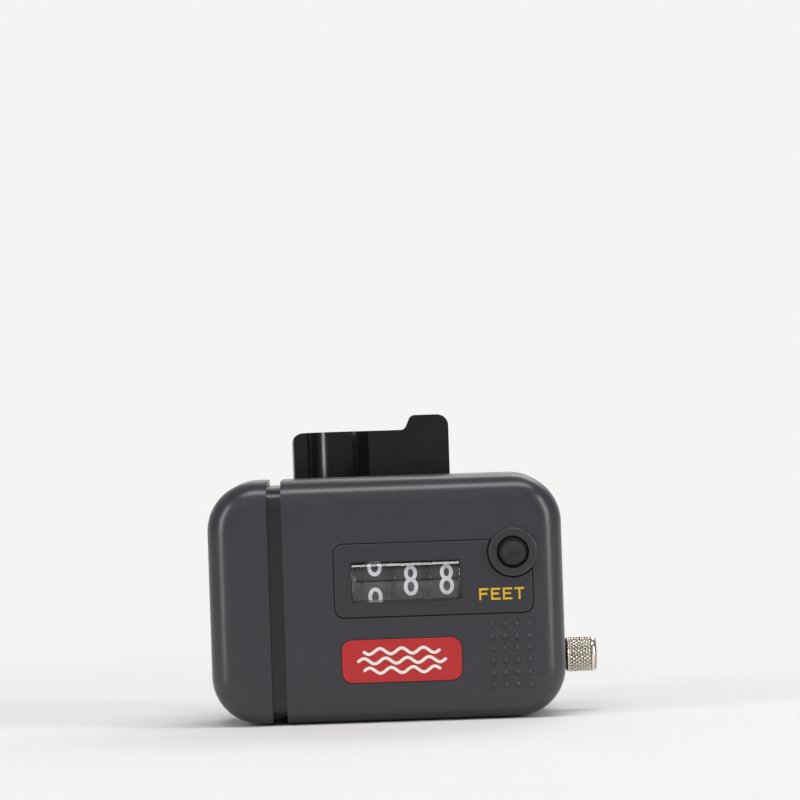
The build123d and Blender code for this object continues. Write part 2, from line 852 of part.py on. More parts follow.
# Reduction train, from the roller's pinion to the gear on the units wheel
small_phase = 0
first_phase = meshed_phase(
    small_phase, train_pinion_teeth, roller_axis, train_wheel_teeth, first_axis
)
second_phase = meshed_phase(
    small_phase, train_pinion_teeth, first_axis, train_wheel_teeth, second_axis
)
units_phase = meshed_phase(
    small_phase, train_pinion_teeth, second_axis, units_gear_teeth, wheel_axis
)


def train_gear(start_x, teeth, phase, axis, bore_r):
    with BuildPart() as gear:
        outline_between(start_x, start_x + train_face, gear_points(teeth, train_module, phase, axis))
        disc_between(start_x - overrun, start_x + train_face + overrun, axis, bore_r, Mode.SUBTRACT)
    return gear.part


def pinion_arbor(pinion_x, end_left, end_right, axis, radius):
    """Thin turning shaft with an eight-tooth pinion cut on it."""
    with BuildPart() as arbor:
        disc_between(end_left, end_right, axis, radius)
        outline_between(pinion_x, pinion_x + train_face, gear_points(
            train_pinion_teeth, train_module, small_phase, axis))
    return arbor.part


plate_right = gear_plate_x + sheet_t
save(train_gear(units_gear_x, units_gear_teeth, units_phase, wheel_axis, hub_r), "units_drive_gear")
save(train_gear(plane_a_x, train_wheel_teeth, first_phase, first_axis, arbor_r), "first_gear")
save(train_gear(plane_b_x, train_wheel_teeth, second_phase, second_axis, arbor_r), "second_gear")
save(pinion_arbor(plane_b_x, right_cheek_x, plate_right, first_axis, arbor_r), "first_arbor")
save(pinion_arbor(units_gear_x, units_gear_x, plate_right, second_axis, arbor_r), "second_arbor")

# Roller, its stepped shaft, and the bush and washer in the wall
with BuildPart() as measuring_roller:
    disc_between(roller_x, roller_x + roller_len, roller_axis, roller_r)
    ends = measuring_roller.edges().filter_by(GeomType.CIRCLE)
    fillet(ends, roller_rim_r)
    disc_between(roller_x - overrun, roller_x + roller_len + overrun, roller_axis, roller_shaft_r,
                 Mode.SUBTRACT)
save(measuring_roller.part, "measuring_roller")

with BuildPart() as roller_shaft:
    shaft_end_x = roller_x + roller_len
    disc_between(right_cheek_x, gear_plate_x, roller_axis, roller_tip_r)
    disc_between(gear_plate_x, shaft_end_x, roller_axis, roller_shaft_r)
    outline_between(plane_a_x, plane_a_x + train_face, gear_points(
        train_pinion_teeth, train_module, small_phase, roller_axis))
    end = roller_shaft.faces().sort_by(Axis.X)[-1]
    chamfer(end.edges(), seat)
save(roller_shaft.part, "roller_shaft")

with BuildPart() as roller_bush:
    disc_between(inner_right_x - bush_flange_t, inner_right_x, roller_axis, bush_flange_r)
    disc_between(inner_right_x, case_w / 2, roller_axis, bush_r)
    disc_between(inner_right_x - bush_flange_t - overrun, case_w / 2 + overrun, roller_axis,
                 roller_shaft_r + running, Mode.SUBTRACT)
save(roller_bush.part, "roller_bush")

with BuildPart() as roller_washer:
    disc_between(case_w / 2, case_w / 2 + washer_t, roller_axis, washer_r)
    disc_between(case_w / 2 - overrun, roller_x, roller_axis, roller_shaft_r + running, Mode.SUBTRACT)
save(roller_washer.part, "roller_washer")

# Reset button: a turned shape about an axis that runs into the case
flange_y = inner_front_y + clear
flange_back_y = flange_y + button_flange_t
top_y = face_y - button_rise
with BuildPart() as reset_button:
    with BuildSketch(Plane((button_x, 0, button_z), x_dir=(1, 0, 0), z_dir=(0, 0, 1))):
        with BuildLine():
            rim_y = top_y + button_dish
            Polyline(
                (button_top_r, rim_y), (button_base_r, face_y), (button_base_r, flange_y),
                (button_flange_r, flange_y), (button_flange_r, flange_back_y),
                (plunger_r, flange_back_y), (plunger_r, face_y), (0, face_y), (0, rim_y)
            )
            land_r = button_top_r - button_dish
            ThreePointArc((0, rim_y), (land_r / 2, rim_y - button_dish / 3), (land_r, top_y))
            RadiusArc((land_r, top_y), (button_top_r, rim_y), button_dish)
        make_face()
    revolve(axis=Axis((button_x, 0, button_z), (0, 1, 0)))
save(reset_button.part, "reset_button")

lever_face_y = comb_y - lever_w / 2
with BuildPart() as reset_plunger:
    cylinder_between(face_y, lever_face_y - seat, button_place, plunger_r)
    tip = reset_plunger.faces().sort_by(Axis.Y)[-1]
    fillet(tip.edges(), plunger_r - seat)
save(reset_plunger.part, "reset_plunger")


def arm_points(axis, start_r, length, width, at):
    """Outline of a straight arm that points away from its shaft."""
    half = width / 2
    corners = [(start_r, -half), (length, -half), (length, half), (start_r, half)]
    turned = [
        (u * math.cos(math.radians(at)) - v * math.sin(math.radians(at)),
         u * math.sin(math.radians(at)) + v * math.cos(math.radians(at)))
        for u, v in corners
    ]
    return [shifted(axis, point) for point in turned]


with BuildPart() as reset_shaft:
    disc_between(left_cheek_x, lever_x + lever_t, comb_axis, comb_shaft_r)
save(reset_shaft.part, "reset_shaft")

cam_middles = [
    hundreds_x + half_rim + disc_t + cam_t / 2,
    tens_x + half_rim + disc_t + cam_t / 2,
    units_x + half_rim + cam_t / 2,
]
with BuildPart() as reset_comb:
    disc_between(left_cheek_x + sheet_t + seat, right_cheek_x - seat, comb_axis, comb_hub_r)
    tip_axis = shifted(comb_axis, polar(hammer_len, hammer_rest_angle))
    for middle_x in cam_middles:
        left = middle_x - hammer_t / 2
        outline_between(left, left + hammer_t, arm_points(
            comb_axis, comb_shaft_r, hammer_len, hammer_w, hammer_rest_angle))
        disc_between(left, left + hammer_t, tip_axis, hammer_w / 2)
    disc_between(left_cheek_x, right_cheek_x, comb_axis, comb_shaft_r, Mode.SUBTRACT)
save(reset_comb.part, "reset_comb")

with BuildPart() as reset_lever:
    lever_len = comb_z - button_z
    disc_between(lever_x, lever_x + lever_t, comb_axis, comb_hub_r)
    outline_between(lever_x, lever_x + lever_t, arm_points(
        comb_axis, comb_shaft_r, lever_len + lever_w / 2, lever_w, -90))
    outline_between(lever_x, lever_x + lever_foot, arm_points(
        comb_axis, lever_len - lever_w / 2, lever_len + lever_w / 2, lever_w, -90))
    disc_between(lever_x - overrun, lever_x + lever_t + overrun, comb_axis, comb_shaft_r,
                 Mode.SUBTRACT)
save(reset_lever.part, "reset_lever")


def add_biarc(start, start_way, end, end_way):
    """Two arcs that leave one point and reach the next along the given directions."""
    chord = end - start
    ways = start_way + end_way
    bend = 2 * (1 - start_way.dot(end_way))
    reach = (-chord.dot(ways) + math.sqrt(chord.dot(ways) ** 2 + bend * chord.dot(chord))) / bend
    first_corner = start + start_way * reach
    second_corner = end - end_way * reach
    middle = (first_corner + second_corner) * 0.5
    TangentArc(start, middle, tangent=start_way)
    TangentArc(middle, end, tangent=second_corner - first_corner)


def wound_spring(label, plane, radius, pitch, turns, wire, leg_in=0, leg_out=0):
    """Round wire wound about the plane's normal, with straight legs along its ends."""
    steps = quarters * turns
    stations = []
    for step in range(steps + 1):
        angle = 2 * math.pi * step / quarters
        here = plane.from_local_coords(
            Vector(radius * math.cos(angle), radius * math.sin(angle), pitch * step / quarters))
        ahead = Vector(-radius * math.sin(angle), radius * math.cos(angle), pitch / (2 * math.pi))
        way = (plane.from_local_coords(ahead) - plane.origin).normalized()
        stations.append((here, way))
    with BuildPart() as spring:
        with BuildLine() as route:
            first, first_way = stations[0]
            last, last_way = stations[-1]
            if leg_in > 0:
                Line(first - first_way * leg_in, first)
            for (start, start_way), (end, end_way) in zip(stations, stations[1:]):
                add_biarc(start, start_way, end, end_way)
            if leg_out > 0:
                Line(last, last + last_way * leg_out)
        with BuildSketch(Plane(first - first_way * leg_in, z_dir=first_way)):
            Circle(wire / 2)
        sweep(path=route.wires()[0])
    samples = [start for start, way in stations]
    gaps = [
        (samples[i] - samples[j]).length - wire
        for i in range(len(samples)) for j in range(i + quarters, len(samples))
    ]
    print(f"{label}: least gap between turns {min(gaps):.2f} mm")
    return spring.part


spring_front_y = flange_back_y + wire_seat
spring_len = foot_y - wire_seat - spring_front_y - spring_wire
save(
    wound_spring(
        "reset_spring",
        Plane((button_x, spring_front_y + spring_wire / 2, button_z), x_dir=(1, 0, 0), z_dir=(0, 1, 0)),
        spring_r, spring_len / spring_turns, spring_turns, spring_wire
    ),
    "reset_spring"
)

torsion_low = hinge_gap_low + knuckle_t + clear + torsion_wire / 2
web_slope = (tab_inner_y - web_inner_y) / (tab_right - hinge_x)
torsion_web_y = web_inner_y + web_slope * torsion_r
save(
    wound_spring(
        "clamp_spring",
        Plane((hinge_x, hinge_y, torsion_low)),
        torsion_r, torsion_pitch, torsion_turns, torsion_wire,
        hinge_y - back_y - seat - torsion_wire / 2,
        torsion_web_y - hinge_y - seat - torsion_wire / 2
    ),
    "clamp_spring"
)

rod_axis = (rod_x, rod_y)
pad_outer_r = rod_r + pad_t
jaw_outer_r = pad_outer_r + jaw_t


def ring_sector(low, high, inner_r, outer_r, start, end):
    """Part of a ring about the rod's axis, standing along Z."""
    with BuildSketch(Plane.XY.offset(low)) as profile:
        with BuildLine():
            CenterArc(rod_axis, inner_r, start, end - start)
            CenterArc(rod_axis, outer_r, start, end - start)
            for at in (start, end):
                Line(shifted(rod_axis, polar(inner_r, at)), shifted(rod_axis, polar(outer_r, at)))
        make_face()
    extrude(profile.sketch, amount=high - low)


pad_low = saddle_low + pad_inset
pad_high = saddle_low + saddle_h - pad_inset
with BuildPart() as saddle_pad:
    ring_sector(pad_low, pad_high, rod_r, pad_outer_r, -90 - pad_half_angle, -90 + pad_half_angle)
save(saddle_pad.part, "saddle_pad")

with BuildPart() as arm_pad:
    ring_sector(pad_low, pad_high, rod_r, pad_outer_r, arm_pad_start_angle, arm_pad_end_angle)
save(arm_pad.part, "arm_pad")

# Sprung arm: a curved jaw, a web behind the pin and a taller finger tab
with BuildPart() as clamp_arm:
    ring_sector(arm_low, tab_top, pad_outer_r, jaw_outer_r, jaw_start_angle, jaw_end_angle)
    with BuildSketch(Plane.XY.offset(arm_low)):
        with BuildLine():
            Polyline(
                shifted(rod_axis, polar(jaw_outer_r, jaw_blend_angle)),
                (hinge_x, web_outer_y),
                (tab_right, tab_outer_y),
                (tab_right, tab_inner_y),
                (hinge_x, web_inner_y),
                shifted(rod_axis, polar(pad_outer_r, jaw_start_angle)),
                close=True,
            )
        make_face()
    extrude(amount=tab_top - arm_low)
    arm_left = rod_x - jaw_outer_r
    far_y = rod_y + jaw_outer_r + overrun
    with BuildSketch(facing(far_y)):
        with BuildLine():
            FilletPolyline(
                (arm_left, arm_low), (tab_right, arm_low), (tab_right, tab_top),
                (tab_left + tab_slope, tab_top), (tab_left, arm_top), (arm_left, arm_top),
                radius=[arm_corner_r, arm_corner_r, tab_corner_r, arm_corner_r, arm_corner_r,
                        tab_corner_r],
                close=True,
            )
        make_face()
    extrude(amount=far_y - back_y, mode=Mode.INTERSECT)
    for low in (hinge_gap_low, hinge_gap_high - knuckle_t):
        with BuildSketch(Plane.XY.offset(low)):
            with Locations((hinge_x, hinge_y)):
                Circle(ear_r)
            with Locations((hinge_x, (hinge_y + web_inner_y + overrun) / 2)):
                Rectangle(2 * hinge_pin_r, web_inner_y + overrun - hinge_y)
            with Locations((hinge_x, hinge_y)):
                Circle(hinge_pin_r + running, mode=Mode.SUBTRACT)
        extrude(amount=knuckle_t)
save(clamp_arm.part, "clamp_arm")

with BuildPart() as clamp_pin:
    with BuildSketch(Plane.XY.offset(ear_low - clip_t - shaft_end)):
        with Locations((hinge_x, hinge_y)):
            Circle(hinge_pin_r - running)
    extrude(amount=ear_high + ear_t - ear_low + clip_t + shaft_end)
    with BuildSketch(Plane.XY.offset(ear_high + ear_t)):
        with Locations((hinge_x, hinge_y)):
            Circle(pin_head_r)
    extrude(amount=pin_head_t)
    head = clamp_pin.faces().sort_by(Axis.Z)[-1]
    fillet(head.edges(), pin_head_t / 2)
save(clamp_pin.part, "clamp_pin")

with BuildPart() as clamp_pin_clip:
    with BuildSketch(Plane.XY.offset(ear_low - clip_t)):
        with Locations((hinge_x, hinge_y)):
            Circle(clip_r)
            Circle(hinge_pin_r, mode=Mode.SUBTRACT)
    extrude(amount=clip_t)
save(clamp_pin_clip.part, "clamp_pin_clip")
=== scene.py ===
# %% [markdown]
# # A clip-on fishing line counter
# This is the dressing of a small counter that clips to a fishing rod. The line takes a turn round a
# knurled roller, a train of gears slows the roller down, and three number wheels show the feet.
# The solid pieces come from the CAD model and stay as they are. Here they get their surfaces, and
# the few things that are better modelled as a mesh are added: the knurling, the printed numerals,
# the lettering under the button and the lines on the badge.

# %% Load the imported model
import math

import bmesh
import bpy
from mathutils import Matrix, Vector


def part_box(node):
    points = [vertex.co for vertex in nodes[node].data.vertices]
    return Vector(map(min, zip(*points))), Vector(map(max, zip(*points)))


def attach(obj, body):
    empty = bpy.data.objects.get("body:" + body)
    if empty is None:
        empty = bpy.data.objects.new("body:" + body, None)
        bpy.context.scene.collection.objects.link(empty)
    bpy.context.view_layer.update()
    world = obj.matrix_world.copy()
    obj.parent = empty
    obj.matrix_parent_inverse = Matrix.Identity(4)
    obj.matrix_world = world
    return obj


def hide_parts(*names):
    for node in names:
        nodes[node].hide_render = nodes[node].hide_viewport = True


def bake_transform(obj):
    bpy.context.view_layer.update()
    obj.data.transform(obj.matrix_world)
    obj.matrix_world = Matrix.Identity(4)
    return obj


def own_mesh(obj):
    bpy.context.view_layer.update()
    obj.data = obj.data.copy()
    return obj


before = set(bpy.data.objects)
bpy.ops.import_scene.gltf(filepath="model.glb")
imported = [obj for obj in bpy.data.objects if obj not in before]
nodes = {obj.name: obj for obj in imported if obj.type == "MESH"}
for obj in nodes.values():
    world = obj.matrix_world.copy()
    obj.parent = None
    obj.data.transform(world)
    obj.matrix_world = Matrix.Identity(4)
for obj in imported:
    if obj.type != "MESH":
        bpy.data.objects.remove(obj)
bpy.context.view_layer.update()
MM = 0.001

# %% [markdown]
# Colours are written as sRGB hex values, because that is how they are read off a photograph.
# Blender's sockets want linear light, so one function turns them over.


# %% A colour from its hex value
def colour(hex_value):
    channels = [int(hex_value[i:i + 2], 16) / 255 for i in (1, 3, 5)]
    return [c / 12.92 if c <= 0.04045 else ((c + 0.055) / 1.055) ** 2.4 for c in channels] + [1.0]


print("mid grey in linear light:", round(colour("#808080")[0], 3))

# %% [markdown]
# Every finish below is a small tree of nodes. One function adds a node of any kind: settings are the
# node's own properties, values go on its sockets, and links say which output feeds which socket.
# A second one starts a material for a list of CAD nodes, with its shader and its object coordinates.
# Object coordinates are metres on this model, so a pattern's scale follows from its real size.


# %% Helpers for the materials
def add(tree, kind, settings=None, values=None, links=None):
    node = tree.nodes.new(kind)
    for name, value in (settings or {}).items():
        setattr(node, name, value)
    for socket, value in (values or {}).items():
        node.inputs[socket].default_value = value
    for socket, source in (links or {}).items():
        tree.links.new(source, node.inputs[socket])
    return node


def start(name):
    material = bpy.data.materials.new(name)
    material.use_nodes = True
    tree = material.node_tree
    place = add(tree, "ShaderNodeTexCoord").outputs["Object"]
    return material, tree, tree.nodes["Principled BSDF"], place


def dress(material, *names):
    for name in names:
        slots = nodes[name].data.materials
        slots.clear()
        slots.append(material)
    print(material.name, "->", ", ".join(names))


def per_metre(size_mm):
    return 1 / (size_mm * MM)


# %% [markdown]
# The case is moulded in charcoal ABS. Its mould was spark eroded, which leaves a fine, even grain of
# about a quarter of a millimetre and a satin sheen. Two noises make it: the fine one is the grain in
# the bump and the sheen, and a broad one lets the colour drift a little, as pigment does in a thick
# wall. Bump is enough, because the grain is far too shallow to change the outline.

# %% Spark eroded ABS for the two shells
case_abs, tree, shader, place = start("spark_eroded_abs")
grain = add(tree, "ShaderNodeTexNoise",
            values={"Scale": per_metre(0.26), "Detail": 3.0, "Roughness": 0.6}, links={"Vector": place})
drift = add(tree, "ShaderNodeTexNoise", values={"Scale": per_metre(14), "Detail": 2.0},
            links={"Vector": place})
tint = add(tree, "ShaderNodeValToRGB", links={"Fac": drift.outputs["Fac"]})
tint.color_ramp.elements[0].color = colour("#2F2D33")
tint.color_ramp.elements[1].color = colour("#353339")
sheen = add(tree, "ShaderNodeMapRange", values={"To Min": 0.24, "To Max": 0.35},
            links={"Value": grain.outputs["Fac"]})
relief = add(tree, "ShaderNodeBump", values={"Strength": 0.3, "Distance": 0.012 * MM},
             links={"Height": grain.outputs["Fac"]})
tree.links.new(sheen.outputs["Result"], shader.inputs["Roughness"])
tree.links.new(relief.outputs["Normal"], shader.inputs["Normal"])
shader.inputs["IOR"].default_value = 1.54
dress(case_abs, "front_housing", "rear_housing")

# %% [markdown]
# The narrow groove round the left side of the case gets painted shade: its colour is darkened, so that
# it looks darker than its depth alone makes it here. Why isn't known, and grime is a guess. The groove
# is a band of even width across the case, which ends just before the back, so the distance from the
# middle of that band is the mask.

# %% Painted shade in the groove
GROOVE_INSET, GROOVE_HALF, GROOVE_END = 10.3 * MM, 1.1 * MM, 11.2 * MM
# The first number below is how strongly the painted shade darkens the groove.
PAINTED_SHADE, SIDE_FADE, END_FADE = 0.6, 0.03 * MM, 0.6 * MM
groove_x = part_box("front_housing")[0].x + GROOVE_INSET
spot = add(tree, "ShaderNodeSeparateXYZ", links={"Vector": place})
off = add(tree, "ShaderNodeMath", settings={"operation": "SUBTRACT"}, values={1: groove_x},
          links={0: spot.outputs["X"]})
beside = add(tree, "ShaderNodeMath", settings={"operation": "ABSOLUTE"}, links={0: off.outputs["Value"]})
across = add(tree, "ShaderNodeMapRange",
             values={"From Min": GROOVE_HALF + SIDE_FADE / 3, "From Max": GROOVE_HALF + SIDE_FADE,
                     "To Min": PAINTED_SHADE, "To Max": 0.0},
             links={"Value": beside.outputs["Value"]})
along = add(tree, "ShaderNodeMapRange",
            values={"From Min": GROOVE_END - END_FADE, "From Max": GROOVE_END,
                    "To Min": 1.0, "To Max": 0.0},
            links={"Value": spot.outputs["Y"]})
shade_mask = add(tree, "ShaderNodeMath", settings={"operation": "MULTIPLY"},
            links={0: across.outputs["Result"], 1: along.outputs["Result"]})
# Painted shade: inside the groove the case colour is mixed towards near black.
shaded_case = add(tree, "ShaderNodeMix", settings={"data_type": "RGBA"}, values={7: colour("#141416")},
            links={0: shade_mask.outputs["Value"], 6: tint.outputs["Color"]})
print("the groove's middle is at x =", round(groove_x / MM, 2), "mm")

# %% [markdown]
# Where the two shells meet, a real case shows a hairline joint. Its place is known too, from the rear
# shell's front edge, so the distance from that plane darkens a line a seventh of a millimetre wide.

# %% The hairline joint between the shells
split_y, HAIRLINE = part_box("rear_housing")[0].y, 0.07 * MM
off = add(tree, "ShaderNodeMath", settings={"operation": "SUBTRACT"}, values={1: split_y},
          links={0: spot.outputs["Y"]})
near = add(tree, "ShaderNodeMath", settings={"operation": "ABSOLUTE"}, links={0: off.outputs["Value"]})
joint = add(tree, "ShaderNodeMapRange",
            values={"From Min": 0.6 * HAIRLINE, "From Max": HAIRLINE, "To Min": 1.0, "To Max": 0.0},
            links={"Value": near.outputs["Value"]})
jointed = add(tree, "ShaderNodeMix", settings={"data_type": "RGBA"}, values={7: colour("#0B0B0C")},
              links={0: joint.outputs["Result"], 6: shaded_case.outputs[2]})
tree.links.new(jointed.outputs[2], shader.inputs["Base Color"])
print("the shells meet at y =", round(split_y / MM, 2), "mm")

# %% [markdown]
# The panel round the window is a separate plate of the same ABS, from a polished mould. It is the
# same colour as the case and only smoother, so the thin joint line round it is what shows it.

# %% Polished ABS for the panel
panel_abs, tree, shader, place = start("polished_abs")
haze = add(tree, "ShaderNodeTexNoise", values={"Scale": per_metre(6), "Detail": 4.0, "Roughness": 0.65},
           links={"Vector": place})
sheen = add(tree, "ShaderNodeMapRange", values={"To Min": 0.24, "To Max": 0.36},
            links={"Value": haze.outputs["Fac"]})
ripple = add(tree, "ShaderNodeBump", values={"Strength": 0.08, "Distance": 0.05 * MM},
             links={"Height": haze.outputs["Fac"]})
tree.links.new(sheen.outputs["Result"], shader.inputs["Roughness"])
tree.links.new(ripple.outputs["Normal"], shader.inputs["Normal"])
shader.inputs["Base Color"].default_value = colour("#2F2D33")
shader.inputs["IOR"].default_value = 1.54
dress(panel_abs, "panel_plate")

# %% [markdown]
# The reset button is moulded in a slightly darker, denser plastic, about as shiny as the case. Faint
# rings left by the mould's turned pin show in its dish. They are drawn as a wave that runs outwards
# from the button's axis.

# %% Moulded acetal for the button
button_acetal, tree, shader, place = start("moulded_acetal")
low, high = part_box("reset_button")
button_centre = (low + high) / 2
on_axis = add(tree, "ShaderNodeMapping", settings={"vector_type": "POINT"},
              values={"Location": (-button_centre.x, 0, -button_centre.z), "Scale": (1, 0, 1)},
              links={"Vector": place})
rings = add(tree, "ShaderNodeTexWave", settings={"wave_type": "RINGS", "rings_direction": "SPHERICAL"},
            values={"Scale": per_metre(0.3) / 20, "Distortion": 0.6, "Detail": 2.0},
            links={"Vector": on_axis.outputs["Vector"]})
relief = add(tree, "ShaderNodeBump", values={"Strength": 0.12, "Distance": 0.01 * MM},
             links={"Height": rings.outputs["Fac"]})
sheen = add(tree, "ShaderNodeMapRange", values={"To Min": 0.26, "To Max": 0.34},
            links={"Value": rings.outputs["Fac"]})
tree.links.new(relief.outputs["Normal"], shader.inputs["Normal"])
tree.links.new(sheen.outputs["Result"], shader.inputs["Roughness"])
shader.inputs["Base Color"].default_value = colour("#232326")
shader.inputs["IOR"].default_value = 1.48
dress(button_acetal, "reset_button")

# %% [markdown]
# The clamp arm is black nylon from a polished mould: nearly a mirror, with slow waves where the melt
# flowed and cooled. The waves are what make a real moulding's highlights wander, so a broad, very
# shallow bump is the whole trick. A second, finer one adds the odd speck.

# %% Glossy nylon for the clamp arm
arm_nylon, tree, shader, place = start("glossy_nylon")
flow = add(tree, "ShaderNodeMapping", values={"Scale": (1.0, 1.0, 0.35)}, links={"Vector": place})
waves = add(tree, "ShaderNodeTexNoise", values={"Scale": per_metre(7), "Detail": 1.5, "Distortion": 0.4},
            links={"Vector": flow.outputs["Vector"]})
specks = add(tree, "ShaderNodeTexNoise", values={"Scale": per_metre(0.5), "Detail": 3.0},
             links={"Vector": place})
slow = add(tree, "ShaderNodeBump", values={"Strength": 0.25, "Distance": 0.12 * MM},
           links={"Height": waves.outputs["Fac"]})
both = add(tree, "ShaderNodeBump", values={"Strength": 0.05, "Distance": 0.01 * MM},
           links={"Height": specks.outputs["Fac"], "Normal": slow.outputs["Normal"]})
sheen = add(tree, "ShaderNodeMapRange", values={"To Min": 0.13, "To Max": 0.22},
            links={"Value": specks.outputs["Fac"]})
tree.links.new(both.outputs["Normal"], shader.inputs["Normal"])
tree.links.new(sheen.outputs["Result"], shader.inputs["Roughness"])
shader.inputs["Base Color"].default_value = colour("#15171A")
shader.inputs["IOR"].default_value = 1.53
dress(arm_nylon, "clamp_arm")

# %% [markdown]
# The two pads that grip the rod are soft black rubber. Rubber swallows light: high roughness, a pale
# bloom in patches, and a fine pebble from the mould. The pebble is a Voronoi pattern half a
# millimetre across.

# %% Moulded rubber for the two pads
pad_rubber, tree, shader, place = start("moulded_rubber")
pebble = add(tree, "ShaderNodeTexVoronoi", settings={"feature": "SMOOTH_F1"},
             values={"Scale": per_metre(0.5), "Smoothness": 0.6}, links={"Vector": place})
bloom = add(tree, "ShaderNodeTexNoise", values={"Scale": per_metre(3), "Detail": 5.0, "Roughness": 0.7},
            links={"Vector": place})
tint = add(tree, "ShaderNodeValToRGB", links={"Fac": bloom.outputs["Fac"]})
tint.color_ramp.elements[0].position = 0.4
tint.color_ramp.elements[0].color = colour("#1A1A1B")
tint.color_ramp.elements[1].color = colour("#2A2A2B")
sheen = add(tree, "ShaderNodeMapRange", values={"To Min": 0.72, "To Max": 0.92},
            links={"Value": bloom.outputs["Fac"]})
relief = add(tree, "ShaderNodeBump", settings={"invert": True},
             values={"Strength": 0.4, "Distance": 0.06 * MM},
             links={"Height": pebble.outputs["Distance"]})
tree.links.new(tint.outputs["Color"], shader.inputs["Base Color"])
tree.links.new(sheen.outputs["Result"], shader.inputs["Roughness"])
tree.links.new(relief.outputs["Normal"], shader.inputs["Normal"])
shader.inputs["IOR"].default_value = 1.52
dress(pad_rubber, "arm_pad", "saddle_pad")

# %% [markdown]
# The number wheels and the carry pinions between them are moulded in acetal, a slippery, slightly
# waxy plastic that needs no oil. The wheels are dyed black, so that the white numerals stand out, and
# the pinions are left in the natural off-white. The wheels are duller than the case, so their
# reflections are held down as well.

# %% Black acetal for the wheels
wheel_acetal, tree, shader, place = start("black_acetal")
grain = add(tree, "ShaderNodeTexNoise", values={"Scale": per_metre(0.4), "Detail": 3.0},
            links={"Vector": place})
sheen = add(tree, "ShaderNodeMapRange", values={"To Min": 0.34, "To Max": 0.48},
            links={"Value": grain.outputs["Fac"]})
relief = add(tree, "ShaderNodeBump", values={"Strength": 0.2, "Distance": 0.02 * MM},
             links={"Height": grain.outputs["Fac"]})
tree.links.new(sheen.outputs["Result"], shader.inputs["Roughness"])
tree.links.new(relief.outputs["Normal"], shader.inputs["Normal"])
shader.inputs["Base Color"].default_value = colour("#17161A")
shader.inputs["Specular IOR Level"].default_value = 0.35
dress(wheel_acetal, "units_wheel", "tens_wheel", "hundreds_wheel")

# %% Natural acetal for the carry pinions
natural_acetal, tree, shader, place = start("natural_acetal")
cloud = add(tree, "ShaderNodeTexNoise", values={"Scale": per_metre(1.5), "Detail": 3.0},
            links={"Vector": place})
tint = add(tree, "ShaderNodeValToRGB", links={"Fac": cloud.outputs["Fac"]})
tint.color_ramp.elements[0].color = colour("#D9D6C8")
tint.color_ramp.elements[1].color = colour("#EAE8DD")
tree.links.new(tint.outputs["Color"], shader.inputs["Base Color"])
shader.inputs["Roughness"].default_value = 0.38
shader.inputs["Subsurface Weight"].default_value = 0.15
shader.inputs["Subsurface Scale"].default_value = 0.5 * MM
shader.inputs["IOR"].default_value = 1.48
dress(natural_acetal, "tens_carry_pinion", "hundreds_carry_pinion")

# %% [markdown]
# Metals come next. A metal's colour is in its mirror light, so Metallic is 1 and the base colour is
# the colour of that light. What tells one metal surface from another is how it was made: rolled
# sheet has long fine lines, a ground shaft has rings round it, zinc plating has faint spangles.
# The frame is blackened after bending, so that it doesn't glint beside the wheels in the window.

# %% Blackened steel sheet for the frame and the gear plate
black_steel, tree, shader, place = start("blackened_steel_sheet")
along = add(tree, "ShaderNodeMapping", values={"Scale": (1.0, 1.0, 0.03)}, links={"Vector": place})
lines = add(tree, "ShaderNodeTexNoise", values={"Scale": per_metre(0.15), "Detail": 4.0},
            links={"Vector": along.outputs["Vector"]})
sheen = add(tree, "ShaderNodeMapRange", values={"To Min": 0.24, "To Max": 0.42},
            links={"Value": lines.outputs["Fac"]})
relief = add(tree, "ShaderNodeBump", values={"Strength": 0.25, "Distance": 0.01 * MM},
             links={"Height": lines.outputs["Fac"]})
tree.links.new(sheen.outputs["Result"], shader.inputs["Roughness"])
tree.links.new(relief.outputs["Normal"], shader.inputs["Normal"])
shader.inputs["Base Color"].default_value = colour("#2B2C2E")
shader.inputs["Metallic"].default_value = 1.0
dress(black_steel, "counter_frame", "gear_plate")

# %% Ground steel for the shafts, pins and rings
ground_steel, tree, shader, place = start("ground_steel")
across = add(tree, "ShaderNodeMapping", values={"Scale": (1.0, 0.04, 0.04)}, links={"Vector": place})
marks = add(tree, "ShaderNodeTexNoise", values={"Scale": per_metre(0.12), "Detail": 3.0},
            links={"Vector": across.outputs["Vector"]})
sheen = add(tree, "ShaderNodeMapRange", values={"To Min": 0.14, "To Max": 0.28},
            links={"Value": marks.outputs["Fac"]})
relief = add(tree, "ShaderNodeBump", values={"Strength": 0.15, "Distance": 0.006 * MM},
             links={"Height": marks.outputs["Fac"]})
tree.links.new(sheen.outputs["Result"], shader.inputs["Roughness"])
tree.links.new(relief.outputs["Normal"], shader.inputs["Normal"])
shader.inputs["Base Color"].default_value = colour("#C6C8CA")
shader.inputs["Metallic"].default_value = 1.0
dress(ground_steel, "digit_shaft", "pinion_shaft", "roller_shaft", "first_arbor", "second_arbor",
      "reset_shaft", "reset_plunger", "shaft_clips", "clamp_pin", "clamp_pin_clip", "roller_washer")

# %% [markdown]
# The screws are zinc plated. Fresh zinc has a cool, slightly blue shine with small spangles, which a
# Voronoi pattern of cells gives: each cell is a touch lighter or darker than its neighbour.

# %% Zinc plating for the screws
zinc_plate, tree, shader, place = start("zinc_plated_steel")
spangle = add(tree, "ShaderNodeTexVoronoi", values={"Scale": per_metre(0.45)}, links={"Vector": place})
grey = add(tree, "ShaderNodeRGBToBW", links={"Color": spangle.outputs["Color"]})
tint = add(tree, "ShaderNodeValToRGB", links={"Fac": grey.outputs["Val"]})
tint.color_ramp.elements[0].color = colour("#AEB6BC")
tint.color_ramp.elements[1].color = colour("#CDD3D6")
sheen = add(tree, "ShaderNodeMapRange", values={"To Min": 0.24, "To Max": 0.38},
            links={"Value": grey.outputs["Val"]})
tree.links.new(tint.outputs["Color"], shader.inputs["Base Color"])
tree.links.new(sheen.outputs["Result"], shader.inputs["Roughness"])
shader.inputs["Metallic"].default_value = 1.0
dress(zinc_plate, "case_screws", "frame_screws")

